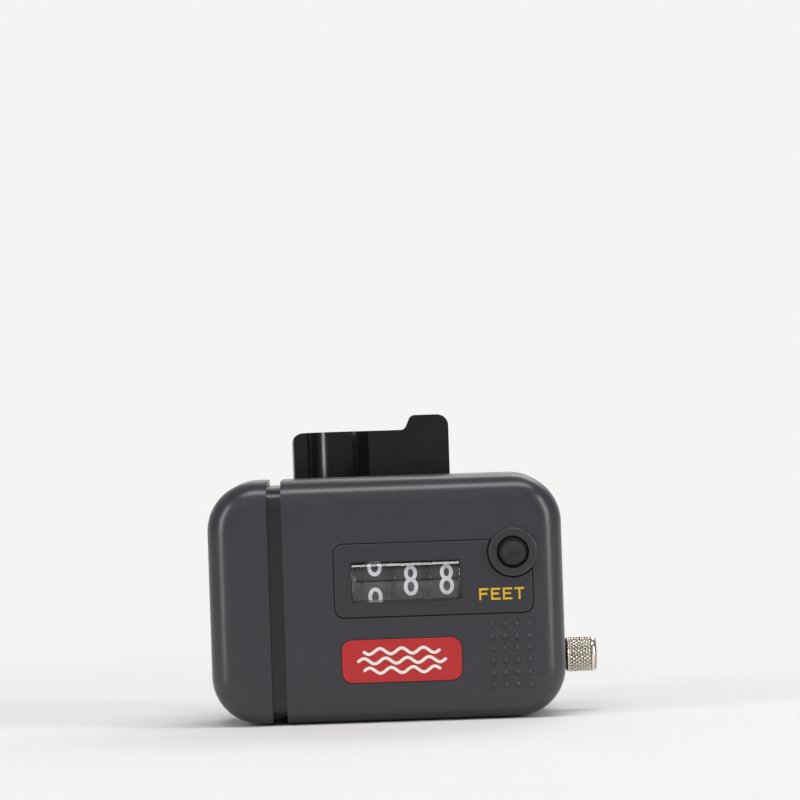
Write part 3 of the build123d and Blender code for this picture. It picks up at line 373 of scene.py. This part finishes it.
# %% [markdown]
# The gears, the pillars and the reset comb are brass, cut and then tumbled clean. Brass tarnishes in
# soft brown patches, so a broad noise moves the colour between bright and slightly browned.

# %% Tumbled brass for the gears, pillars and comb
tumbled_brass, tree, shader, place = start("tumbled_brass")
patch = add(tree, "ShaderNodeTexNoise",
            values={"Scale": per_metre(2.5), "Detail": 4.0, "Roughness": 0.6}, links={"Vector": place})
tint = add(tree, "ShaderNodeValToRGB", links={"Fac": patch.outputs["Fac"]})
tint.color_ramp.elements[0].position = 0.35
tint.color_ramp.elements[0].color = colour("#A87F3C")
tint.color_ramp.elements[1].color = colour("#D2A85A")
sheen = add(tree, "ShaderNodeMapRange", values={"To Min": 0.34, "To Max": 0.2},
            links={"Value": patch.outputs["Fac"]})
tree.links.new(tint.outputs["Color"], shader.inputs["Base Color"])
tree.links.new(sheen.outputs["Result"], shader.inputs["Roughness"])
shader.inputs["Metallic"].default_value = 1.0
dress(tumbled_brass, "plate_pillars", "first_gear", "second_gear", "units_drive_gear", "reset_comb",
      "reset_lever")

# %% [markdown]
# The bush that carries the roller's shaft is sintered bronze: metal powder pressed and baked, with
# pores that hold oil. Small dark Voronoi cells are the pores, and they also roughen the surface.

# %% Sintered bronze for the bush
sintered_bronze, tree, shader, place = start("sintered_bronze")
pores = add(tree, "ShaderNodeTexVoronoi", values={"Scale": per_metre(0.2)}, links={"Vector": place})
tint = add(tree, "ShaderNodeValToRGB", links={"Fac": pores.outputs["Distance"]})
tint.color_ramp.elements[0].color = colour("#5E4326")
tint.color_ramp.elements[1].position = 0.35
tint.color_ramp.elements[1].color = colour("#A97B4C")
relief = add(tree, "ShaderNodeBump", values={"Strength": 0.3, "Distance": 0.02 * MM},
             links={"Height": pores.outputs["Distance"]})
tree.links.new(tint.outputs["Color"], shader.inputs["Base Color"])
tree.links.new(relief.outputs["Normal"], shader.inputs["Normal"])
shader.inputs["Metallic"].default_value = 1.0
shader.inputs["Roughness"].default_value = 0.48
dress(sintered_bronze, "roller_bush")

# %% [markdown]
# Spring wire is drawn through dies and then blued a little by the heat that sets it. The drawing
# lines are finer than a pixel, so what the eye gets is a dark, soft, slightly uneven shine.

# %% Drawn wire for the two springs
drawn_wire, tree, shader, place = start("drawn_spring_wire")
heat = add(tree, "ShaderNodeTexNoise", values={"Scale": per_metre(1.2), "Detail": 3.0},
           links={"Vector": place})
tint = add(tree, "ShaderNodeValToRGB", links={"Fac": heat.outputs["Fac"]})
tint.color_ramp.elements[0].color = colour("#75787E")
tint.color_ramp.elements[1].color = colour("#9FA1A2")
sheen = add(tree, "ShaderNodeMapRange", values={"To Min": 0.25, "To Max": 0.4},
            links={"Value": heat.outputs["Fac"]})
tree.links.new(tint.outputs["Color"], shader.inputs["Base Color"])
tree.links.new(sheen.outputs["Result"], shader.inputs["Roughness"])
shader.inputs["Metallic"].default_value = 1.0
dress(drawn_wire, "reset_spring", "clamp_spring")

# %% [markdown]
# A spring changes its shape as the counter works, and a rigid one would end up inside its neighbours. On
# the counter, the button's spring shortens towards its seat as the button goes in, and the clamp's
# spring winds up along its coil: its lower leg stays with the case, its upper leg goes with the arm, and
# the turns between share the twist. Here each is a copy of its solid's mesh that takes the solid's
# place: the button's spring goes with the case and has a mesh of its own, and the clamp's spring has its
# placement baked into its mesh.


def wound_copy(name):
    piece = bpy.data.objects.new(name + "_wound", nodes[name].data.copy())
    bpy.context.scene.collection.objects.link(piece)
    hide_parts(name)
    print(piece.name, "faces:", len(piece.data.polygons))
    return piece


low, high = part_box("reset_spring")
button_spring = wound_copy("reset_spring")
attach(button_spring, "case")
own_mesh(button_spring)
low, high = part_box("clamp_spring")
arm_spring = wound_copy("clamp_spring")
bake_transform(arm_spring)

# %% [markdown]
# The window is clear polycarbonate, which bends light a little more than glass. Cycles makes no
# bright light through a refracting shape without a great many samples, so lamps would leave the
# wheels behind it dark. Light Path's Is Shadow Ray lets lamp light pass straight through, while
# the eye still sees the real bend, the bright edges and the reflections. Light that meets the bulge
# at a low slant is turned away from what lies behind it. Layer Weight's Facing knows the slant, so
# slanting light is let through less. A hard coat against scratches and glare dims the reflections,
# which Specular IOR Level below a half stands for.

# %% Clear polycarbonate for the window
clear_pc, tree, shader, place = start("clear_polycarbonate")
smear = add(tree, "ShaderNodeTexNoise", values={"Scale": per_metre(4), "Detail": 3.0},
            links={"Vector": place})
relief = add(tree, "ShaderNodeBump", values={"Strength": 0.02, "Distance": 0.01 * MM},
             links={"Height": smear.outputs["Fac"]})
tree.links.new(relief.outputs["Normal"], shader.inputs["Normal"])
shader.inputs["Base Color"].default_value = colour("#F7F6F8")
shader.inputs["Roughness"].default_value = 0.02
shader.inputs["IOR"].default_value = 1.585
shader.inputs["Specular IOR Level"].default_value = 0.2
shader.inputs["Transmission Weight"].default_value = 1.0
ray = add(tree, "ShaderNodeLightPath")
slant = add(tree, "ShaderNodeLayerWeight", values={"Blend": 0.5})
passed = add(tree, "ShaderNodeValToRGB", links={"Fac": slant.outputs["Facing"]})
passed.color_ramp.elements[0].position = 0.5
passed.color_ramp.elements[0].color = colour("#F0EFF1")
passed.color_ramp.elements[1].position = 0.88
passed.color_ramp.elements[1].color = colour("#0C0C0D")
open_way = add(tree, "ShaderNodeBsdfTransparent", links={"Color": passed.outputs["Color"]})
choice = add(tree, "ShaderNodeMixShader", links={"Fac": ray.outputs["Is Shadow Ray"]})
tree.links.new(shader.outputs["BSDF"], choice.inputs[1])
tree.links.new(open_way.outputs["BSDF"], choice.inputs[2])
tree.links.new(choice.outputs["Shader"], tree.nodes["Material Output"].inputs["Surface"])
dress(clear_pc, "display_lens")

# %% [markdown]
# The badge under the window is stove enamelled in red and clear coated. Enamel levels itself as it
# melts, with a soft orange peel, and a clear coat gives it a second, sharper shine.

# %% Red enamel for the badge
red_enamel, tree, shader, place = start("stove_enamel")
peel = add(tree, "ShaderNodeTexNoise", values={"Scale": per_metre(1.1), "Detail": 2.0},
           links={"Vector": place})
relief = add(tree, "ShaderNodeBump", values={"Strength": 0.06, "Distance": 0.05 * MM},
             links={"Height": peel.outputs["Fac"]})
tint = add(tree, "ShaderNodeValToRGB", links={"Fac": peel.outputs["Fac"]})
tint.color_ramp.elements[0].color = colour("#B01518")
tint.color_ramp.elements[1].color = colour("#BC1B1D")
tree.links.new(tint.outputs["Color"], shader.inputs["Base Color"])
tree.links.new(relief.outputs["Normal"], shader.inputs["Normal"])
shader.inputs["Roughness"].default_value = 0.3
shader.inputs["Coat Weight"].default_value = 0.25
shader.inputs["Coat Roughness"].default_value = 0.08
dress(red_enamel, "badge_plate")

# %% [markdown]
# The measuring roller is brass, knurled and then nickel plated. The knurls are real: they grip the
# line, catch the light one by one and break the outline, which no bump can do. A knurling tool rolls
# two sets of helical grooves that cross, so the height is the lower of two crossing ridge waves.
# The mesh is one long profile, swept round the axis, and the two waves are cut into it.

# %% The knurled roller
low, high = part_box("measuring_roller")
roller_r = (high.z - low.z) / 2
roller_axis = Vector(((low.x + high.x) / 2, (low.y + high.y) / 2, (low.z + high.z) / 2))
roller_left, roller_right = low.x, high.x
STARTS, HELIX, KNURL_DEPTH = 26, math.radians(38), 0.2 * MM
LEFT_EDGE, RIGHT_EDGE, RUN_OUT = 0.35 * MM, 0.75 * MM, 0.2 * MM
HELIX_TURN = math.tan(HELIX) / roller_r
knurl_from, knurl_to = roller_left + LEFT_EDGE, roller_right - RIGHT_EDGE


def ridge(phase):
    return abs((phase / math.tau) % 1.0 * 2 - 1)


def knurled(x, radius, angle):
    if not knurl_from <= x <= knurl_to:
        return radius
    edge = min(x - knurl_from, knurl_to - x, RUN_OUT) / RUN_OUT
    one = ridge(STARTS * (angle + HELIX_TURN * x))
    two = ridge(STARTS * (angle - HELIX_TURN * x))
    return radius - KNURL_DEPTH * edge * (1 - min(one, two) ** 0.75)


def spun(name, profile, sides, shape, axis):
    mesh = bpy.data.meshes.new(name)
    verts, faces = [], []
    for x, radius in profile:
        for s in range(sides):
            angle = math.tau * s / sides
            r = shape(x, radius, angle)
            verts.append((x, axis.y + r * math.cos(angle), axis.z + r * math.sin(angle)))
    rows = len(profile)
    for i in range(rows):
        for s in range(sides):
            a, b = i * sides + s, i * sides + (s + 1) % sides
            c, d = ((i + 1) % rows) * sides + (s + 1) % sides, ((i + 1) % rows) * sides + s
            faces.append((a, b, c, d))
    mesh.from_pydata(verts, [], faces)
    mesh.update()
    piece = bpy.data.objects.new(name, mesh)
    bpy.context.scene.collection.objects.link(piece)
    return piece


BORE_R, INSET, ROUND_R = 1.004 * MM, 0.01 * MM, 0.72 * MM
KNURL_STEPS, SIDES_PER_START = 64, 12
top_r = roller_r - INSET
left_end = [(0, 0.4), (0.1, 0.25), (0.25, 0.08)]
right_end = [(0.01, 1.75), (0.01, 1.55), (0.25, 1.5), (0.3, 1.3)]
profile = [(roller_left, BORE_R)]
profile += [(roller_left + inward * MM, top_r - drop * MM) for inward, drop in left_end]
profile += [(knurl_from + (knurl_to - knurl_from) * i / KNURL_STEPS, top_r)
            for i in range(KNURL_STEPS + 1)]
profile += [(knurl_to + ROUND_R * math.sin(a), top_r - ROUND_R * (1 - math.cos(a)))
            for a in [math.radians(12 * i) for i in range(1, 8)]]
profile += [(roller_right - inward * MM, radius * MM) for inward, radius in right_end]
profile.append((profile[-1][0], BORE_R))
roller = spun("knurled_roller", profile, STARTS * SIDES_PER_START, knurled, roller_axis)
for polygon in roller.data.polygons:
    polygon.use_smooth = True
roller.data.set_sharp_from_angle(angle=math.radians(50))
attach(roller, "roller")
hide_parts("measuring_roller")
print("roller faces:", len(roller.data.polygons))

# %% [markdown]
# Nickel plating is a warm, bright mirror. The colour is darker in the valleys of the knurls and lighter
# on their tops, and the tops are smoother where the line rubs them. How far a point stands from the
# roller's axis tells which it is, so the distance drives both the colour and the roughness.

# %% Nickel plating for the roller
nickel, tree, shader, place = start("bright_nickel_plate")
flat = add(tree, "ShaderNodeVectorMath", settings={"operation": "MULTIPLY"}, links={0: place})
flat.inputs[1].default_value = (0, 1, 1)
centre = add(tree, "ShaderNodeVectorMath", settings={"operation": "DISTANCE"},
             links={0: flat.outputs["Vector"]})
centre.inputs[1].default_value = (0, roller_axis.y, roller_axis.z)
knurl_rise = add(tree, "ShaderNodeMapRange",
           values={"From Min": roller_r - KNURL_DEPTH, "From Max": roller_r - 0.05 * MM},
           links={"Value": centre.outputs["Value"]})
# Darker in the knurls' valleys, lighter on their tops.
tint = add(tree, "ShaderNodeValToRGB", links={"Fac": knurl_rise.outputs["Result"]})
tint.color_ramp.elements[0].color = colour("#A59C8E")
tint.color_ramp.elements[1].color = colour("#F2EBDE")
sheen = add(tree, "ShaderNodeMapRange", values={"To Min": 0.4, "To Max": 0.16},
            links={"Value": knurl_rise.outputs["Result"]})
tree.links.new(tint.outputs["Color"], shader.inputs["Base Color"])
tree.links.new(sheen.outputs["Result"], shader.inputs["Roughness"])
shader.inputs["Metallic"].default_value = 1.0
roller.data.materials.append(nickel)
print("nickel on", roller.name)

# %% [markdown]
# All the marks on this counter are lines of even width: the numerals, the unit under the button and
# the waves on the badge. So one function draws a stroke as a thin raised ribbon. It takes the points
# of the line in millimetres, and a place function that lays them on a flat face or round a wheel.
# Round ends are rows that narrow over a quarter circle. The ribbon starts a little under the surface,
# so that no gap shows, and where strokes cross, each next one lies a hair higher, so that their tops
# never share a plane.

# %% A stroke drawn as a raised ribbon
SUNK, LAYER = 0.02, 0.003


def stroke(bm, points, width, place, height, round_ends=True, closed=False):
    rows = []
    count = len(points)
    for i, (u, v) in enumerate(points):
        before = points[(i - 1) % count] if closed else points[max(i - 1, 0)]
        after = points[(i + 1) % count] if closed else points[min(i + 1, count - 1)]
        along = Vector((after[0] - before[0], after[1] - before[1])).normalized()
        rows.append((Vector((u, v)), along, width / 2))
    if round_ends and not closed:
        turn = [math.radians(15 * k) for k in range(1, 6)]
        first, last = rows[0], rows[-1]
        half = width / 2
        head = [(first[0] - first[1] * math.sin(a) * half, first[1], math.cos(a) * half) for a in turn]
        tail = [(last[0] + last[1] * math.sin(a) * half, last[1], math.cos(a) * half) for a in turn]
        rows = head[::-1] + rows + tail
    rings = []
    for spot, along, half in rows:
        side = Vector((-along.y, along.x)) * half
        left, right = spot + side, spot - side
        rings.append([bm.verts.new(place(p.x, p.y, h)) for p, h in
                      ((left, -SUNK), (left, height), (right, height), (right, -SUNK))])
    pairs = list(zip(rings, rings[1:])) + ([(rings[-1], rings[0])] if closed else [])
    for a, b in pairs:
        for k in range(3):
            bm.faces.new((a[k], a[k + 1], b[k + 1], b[k]))
    if not closed:
        bm.faces.new(rings[0][::-1])
        bm.faces.new(rings[-1])


def line(start_at, end_at, step=0.2):
    (u0, v0), (u1, v1) = start_at, end_at
    n = max(2, math.ceil(math.hypot(u1 - u0, v1 - v0) / step))
    return [(u0 + (u1 - u0) * i / n, v0 + (v1 - v0) * i / n) for i in range(n + 1)]


def arc(centre_at, radii, from_angle, to_angle, n=28):
    angles = [math.radians(from_angle + (to_angle - from_angle) * i / n) for i in range(n + 1)]
    return [(centre_at[0] + radii[0] * math.cos(a), centre_at[1] + radii[1] * math.sin(a))
            for a in angles]


def finish_strokes(bm, name, material, body):
    bmesh.ops.recalc_face_normals(bm, faces=bm.faces)
    mesh = bpy.data.meshes.new(name)
    bm.to_mesh(mesh)
    bm.free()
    mesh.materials.append(material)
    piece = bpy.data.objects.new(name, mesh)
    bpy.context.scene.collection.objects.link(piece)
    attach(piece, body)
    print(name, "faces:", len(mesh.polygons), "rides on", body)
    return piece


# %% [markdown]
# The marks are printed with a soft silicone pad in thick ink, which stands a few hundredths of a
# millimetre proud and is duller than the plastic under it. Ink lies slightly uneven, so its colour
# drifts a little. White is for the wheels, yellow for the unit and cream for the badge.

# %% Pad printing inks
inks = {}
for name, thin, thick in (("white_pad_ink", "#D9DADC", "#F1F2F3"),
                          ("yellow_pad_ink", "#D0A516", "#E8BE28"),
                          ("cream_pad_ink", "#E2DDD6", "#F0ECE6")):
    ink, tree, shader, place = start(name)
    lay = add(tree, "ShaderNodeTexNoise", values={"Scale": per_metre(0.6), "Detail": 3.0},
              links={"Vector": place})
    tint = add(tree, "ShaderNodeValToRGB", links={"Fac": lay.outputs["Fac"]})
    tint.color_ramp.elements[0].color = colour(thin)
    tint.color_ramp.elements[1].color = colour(thick)
    tree.links.new(tint.outputs["Color"], shader.inputs["Base Color"])
    shader.inputs["Roughness"].default_value = 0.55
    inks[name] = ink
print("inks:", ", ".join(inks))

# %% [markdown]
# Each numeral stands in a box 2.2 mm wide and 4.3 mm high, and the window enlarges it a little. The
# ten are drawn once, as lines and arcs about their own middle, and then wrapped round the three
# wheels. Counting up turns a wheel upwards, so each next numeral is 36 degrees further down. Each
# wheel's entry is the middle of its rim in millimetres and the number that shows at rest: the
# hundreds wheel stands halfway between an eight and a nine.

# %% The ten numerals as strokes
WIDE, TALL = 0.85, 2.08
bowl = arc((0, 0), (WIDE, TALL), 0, 360, 48)[:-1]
six = [(arc((0, -0.92), (WIDE, 1.16), 0, 360, 36)[:-1], True),
       (line((-WIDE, -0.9), (-WIDE, 0.2)) + arc((0, 0.2), (WIDE, 1.88), 180, 42)[1:], False)]
numerals = {
    0: [(bowl, True)],
    1: [(line((0.15, -TALL), (0.15, TALL)), False), (line((0.15, TALL), (-0.5, 1.45)), False)],
    2: [(arc((0, 1.15), (0.82, 0.93), 168, -28) + line((0.72, 0.7), (-0.82, -2.05))[1:], False),
        (line((-0.82, -TALL), (0.86, -TALL)), False)],
    3: [(arc((-0.04, 1.12), (0.78, 0.96), 155, -90), False),
        (arc((-0.04, -0.98), (0.88, 1.1), 90, -155), False)],
    4: [(line((0.38, -TALL), (0.38, TALL)), False), (line((0.38, TALL), (-0.88, -0.8)), False),
        (line((-0.88, -0.8), (0.88, -0.8)), False)],
    5: [(line((0.74, TALL), (-0.64, TALL)), False), (line((-0.64, TALL), (-0.72, 0.3)), False),
        (arc((-0.04, -0.76), (0.88, 1.32), 140, -152), False)],
    6: six,
    7: [(line((-WIDE, TALL), (0.82, TALL)), False), (line((0.82, TALL), (-0.28, -TALL)), False)],
    8: [(arc((0, 1.12), (0.74, 0.96), 0, 360, 36)[:-1], True),
        (arc((0, -0.98), (0.86, 1.1), 0, 360, 36)[:-1], True)],
    9: [([(-u, -v) for u, v in path], closed) for path, closed in six],
}
print("strokes in each numeral:", {k: len(v) for k, v in numerals.items()})

# %% The numerals round the wheels
low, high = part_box("tens_wheel")
wheel_r = (high.z - low.z) / 2
wheel_axis = Vector((0, (low.y + high.y) / 2, (low.z + high.z) / 2))
STROKE, SLIM, LOW, WHEEL_INK = 0.6, 0.94, 0.91, 0.03
wheels = {"units": (9.23, 8.0), "tens": (3.78, 8.0), "hundreds": (-1.67, 8.49)}
for body, (rim_x, shown) in wheels.items():
    bm = bmesh.new()
    for digit, strokes in numerals.items():
        for layer, (path, closed) in enumerate(strokes):
            def round_wheel(u, v, h, digit=digit, layer=layer, rim_x=rim_x, shown=shown):
                r = wheel_r + (h + LAYER * layer) * MM
                angle = math.radians((shown - digit) * 36) + LOW * v * MM / wheel_r
                return ((rim_x + SLIM * u) * MM, wheel_axis.y - r * math.cos(angle),
                        wheel_axis.z + r * math.sin(angle))
            stroke(bm, path, STROKE, round_wheel, WHEEL_INK, closed=closed)
    piece = finish_strokes(bm, body + "_numerals", inks["white_pad_ink"], body)

# %% [markdown]
# The unit is printed on the panel under the button: four plain capitals, 1.8 mm high. Their strokes
# have square ends, as block capitals do, and overlap at the corners.

# %% The unit under the button
panel_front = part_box("panel_plate")[0].y
LETTER_H, LETTER_W, LETTER_GAP, BAR, PANEL_INK = 1.8, 1.44, 0.36, 0.3, 0.04
WORD_MIDDLE = (17.5, 18.9)
upright = [((BAR / 2, 0), (BAR / 2, LETTER_H))]
bars = {"top": LETTER_H - BAR / 2, "middle": LETTER_H * 0.52, "foot": BAR / 2}
letter_f = upright + [((0, bars["top"]), (LETTER_W, bars["top"])),
                      ((0, bars["middle"]), (LETTER_W * 0.86, bars["middle"]))]
letter_e = letter_f + [((0, bars["foot"]), (LETTER_W, bars["foot"]))]
letter_t = [((LETTER_W / 2, 0), (LETTER_W / 2, LETTER_H)), ((0, bars["top"]), (LETTER_W, bars["top"]))]
word_at = (WORD_MIDDLE[0] - (4 * LETTER_W + 3 * LETTER_GAP) / 2, WORD_MIDDLE[1] - LETTER_H / 2)
bm = bmesh.new()
for k, letter in enumerate((letter_f, letter_e, letter_e, letter_t)):
    for layer, (start_at, end_at) in enumerate(letter):
        def on_panel(u, v, h, k=k, layer=layer):
            return ((word_at[0] + k * (LETTER_W + LETTER_GAP) + u) * MM,
                    panel_front - (h + LAYER * layer) * MM, (word_at[1] + v) * MM)
        stroke(bm, line(start_at, end_at, 1.0), BAR, on_panel, PANEL_INK, round_ends=False)
finish_strokes(bm, "unit_word", inks["yellow_pad_ink"], "case")

# %% [markdown]
# The badge carries three waves, a plain sign for water, in cream ink.

# %% Waves on the badge
low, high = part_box("badge_plate")
badge_front = low.y
badge_x, badge_z = (low.x + high.x) / 2 / MM, (low.z + high.z) / 2 / MM
HALF_ROW, ROW_STEP, WAVE_LENGTH, WAVE_HEIGHT, WAVE_LINE, BADGE_INK = 6.6, 1.45, 3.3, 0.42, 0.46, 0.03
OUTER_SHORTER, ROW_SHIFT, WAVE_POINTS = 0.9, 0.25, 72


def on_badge(u, v, h):
    return ((badge_x + u) * MM, badge_front - h * MM, (badge_z + v) * MM)


bm = bmesh.new()
for row in (-1, 0, 1):
    half = HALF_ROW - OUTER_SHORTER * abs(row)
    path = [(u, row * ROW_STEP + WAVE_HEIGHT * math.sin(math.tau * (u / WAVE_LENGTH + ROW_SHIFT * row)))
            for u in [-half + 2 * half * i / WAVE_POINTS for i in range(WAVE_POINTS + 1)]]
    stroke(bm, path, WAVE_LINE, on_badge, BADGE_INK)
finish_strokes(bm, "badge_waves", inks["cream_pad_ink"], "case")

# %% [markdown]
# The counter stands on its flat base on a pale sweep: a floor that curves up into a wall, so that no
# corner shows behind it. It is one strip of quads along a bent line, and the paper has a little
# tooth. Near the counter it is lit like any paper and keeps the shadow. Further away Light Path gives
# it an even paper white, but only for the eye, so that it throws no light back on the counter.

# %% The paper sweep
NEAR, SIDE, DEEP, TALL_WALL, BEND, BELOW = 0.9, 1.1, 0.42, 0.8, 0.22, 0.0002
run = [(-NEAR, 0.0), (-0.2, 0.0), (DEEP - BEND, 0.0)]
run += [(DEEP - BEND + BEND * math.sin(a), BEND - BEND * math.cos(a))
        for a in [math.radians(7.5 * i) for i in range(1, 13)]]
run += [(DEEP, 0.45), (DEEP, TALL_WALL)]
mesh = bpy.data.meshes.new("paper_sweep")
verts = [(x, y, z - BELOW) for y, z in run for x in (-SIDE, SIDE)]
mesh.from_pydata(verts, [], [(2 * i, 2 * i + 1, 2 * i + 3, 2 * i + 2) for i in range(len(run) - 1)])
sweep = bpy.data.objects.new("paper_sweep", mesh)
bpy.context.scene.collection.objects.link(sweep)
for polygon in mesh.polygons:
    polygon.use_smooth = True
paper, tree, shader, place = start("matt_paper")
tooth = add(tree, "ShaderNodeTexNoise", values={"Scale": per_metre(0.8), "Detail": 3.0},
            links={"Vector": place})
relief = add(tree, "ShaderNodeBump", values={"Strength": 0.05, "Distance": 0.02 * MM},
             links={"Height": tooth.outputs["Fac"]})
tree.links.new(relief.outputs["Normal"], shader.inputs["Normal"])
shader.inputs["Base Color"].default_value = colour("#EFEEEC")
shader.inputs["Roughness"].default_value = 0.9
away = add(tree, "ShaderNodeVectorMath", settings={"operation": "LENGTH"}, links={0: place})
far = add(tree, "ShaderNodeMapRange", settings={"interpolation_type": "SMOOTHSTEP"},
          values={"From Min": 0.06, "From Max": 0.24}, links={"Value": away.outputs["Value"]})
ray = add(tree, "ShaderNodeLightPath")
seen = add(tree, "ShaderNodeMath", settings={"operation": "ADD", "use_clamp": True},
           links={0: ray.outputs["Is Camera Ray"], 1: ray.outputs["Is Transmission Ray"]})
share = add(tree, "ShaderNodeMath", settings={"operation": "MULTIPLY"},
            links={0: far.outputs["Result"], 1: seen.outputs["Value"]})
glow = add(tree, "ShaderNodeEmission", values={"Color": colour("#F4F4F3"), "Strength": 1.0})
choice = add(tree, "ShaderNodeMixShader", links={"Fac": share.outputs["Value"]})
tree.links.new(shader.outputs["BSDF"], choice.inputs[1])
tree.links.new(glow.outputs["Emission"], choice.inputs[2])
tree.links.new(choice.outputs["Shader"], tree.nodes["Material Output"].inputs["Surface"])
mesh.materials.append(paper)
print("sweep faces:", len(mesh.polygons))

# %% [markdown]
# The photograph looks almost straight at the counter's face. The counter sits below the middle of
# the frame, so it is seen very slightly from above, and it leans 1.9 degrees anticlockwise. A long
# lens at the matching distance gives the same scale, 6.59 pixels to a millimetre on the case's face,
# in a frame 800 pixels wide. The camera is placed from those numbers alone.

# %% The camera
FRAME_PX, PX_PER_MM, LEAN = 800, 6.59, math.radians(1.9)
FACE_MIDDLE_PX, LENS_MM, SENSOR_MM = (386.5, 600), 200, 36
low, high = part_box("front_housing")
aim = Vector(((low.x + high.x) / 2, low.y + 0.5 * MM, (low.z + high.z) / 2))
camera_data = bpy.data.cameras.new("product_camera")
camera_data.lens = LENS_MM
camera_data.sensor_width = SENSOR_MM
distance = FRAME_PX / PX_PER_MM * MM * LENS_MM / SENSOR_MM
right = Vector((math.cos(LEAN), 0, -math.sin(LEAN)))
up = Vector((math.sin(LEAN), 0, math.cos(LEAN)))
ahead = Vector((0, 1, 0))
off_right = (FACE_MIDDLE_PX[0] - FRAME_PX / 2) / PX_PER_MM * MM
off_up = (FRAME_PX / 2 - FACE_MIDDLE_PX[1]) / PX_PER_MM * MM
spot = aim - right * off_right - up * off_up - ahead * distance
camera = bpy.data.objects.new("product_camera", camera_data)
camera.matrix_world = Matrix((
    (right.x, up.x, -ahead.x, spot.x),
    (right.y, up.y, -ahead.y, spot.y),
    (right.z, up.z, -ahead.z, spot.z),
    (0, 0, 0, 1)))
bpy.context.scene.collection.objects.link(camera)
bpy.context.scene.camera = camera
print("camera stands", round(distance, 3), "m away at height", round(spot.z, 4))

# %% [markdown]
# Light for a small dark moulding comes from large soft sources. A broad, weak one in front shows the
# faces at their own colour. A narrow one high above draws a thin bright line along the top of the
# window. Two tall strips at the sides draw the bright lines down the rounded edges, and a small one
# behind shows the clamp to whoever walks round. A dim room fills the rest.


# %% Soft lamps
def softbox(name, place, target, size, watts):
    lamp = bpy.data.lights.new(name, "AREA")
    lamp.shape = "RECTANGLE"
    lamp.size, lamp.size_y = size
    lamp.energy = watts
    piece = bpy.data.objects.new(name, lamp)
    piece.location = place
    piece.rotation_euler = (Vector(target) - Vector(place)).to_track_quat("-Z", "Y").to_euler()
    bpy.context.scene.collection.objects.link(piece)
    print(name, "of", size, "m,", watts, "W")


CASE_MIDDLE = (0, 0, 0.02)
for name, place, size, watts in (("top_softbox", (0.05, -0.17, 0.62), (0.6, 0.12), 1.9),
                                 ("front_softbox", (-0.1, -0.9, 0.5), (1.0, 0.8), 1.0),
                                 ("left_strip", (-0.42, -0.26, 0.12), (0.08, 0.5), 1.1),
                                 ("right_strip", (0.42, -0.26, 0.12), (0.08, 0.5), 1.2),
                                 ("back_softbox", (0.15, 0.34, 0.36), (0.3, 0.2), 0.5)):
    softbox(name, place, CASE_MIDDLE, size, watts)

# %% [markdown]
# The room itself is an even pale grey, and eyes and mirrors see it as it is. Standard view keeps
# every colour as it was written.

# %% The room and the view
scene = bpy.context.scene
room = bpy.data.worlds.new("room")
room.use_nodes = True
tree = room.node_tree
tree.nodes["Background"].inputs["Color"].default_value = colour("#F1F1F2")
tree.nodes["Background"].inputs["Strength"].default_value = 0.24
scene.world = room
scene.view_settings.view_transform = "Standard"
print("view:", scene.view_settings.view_transform)
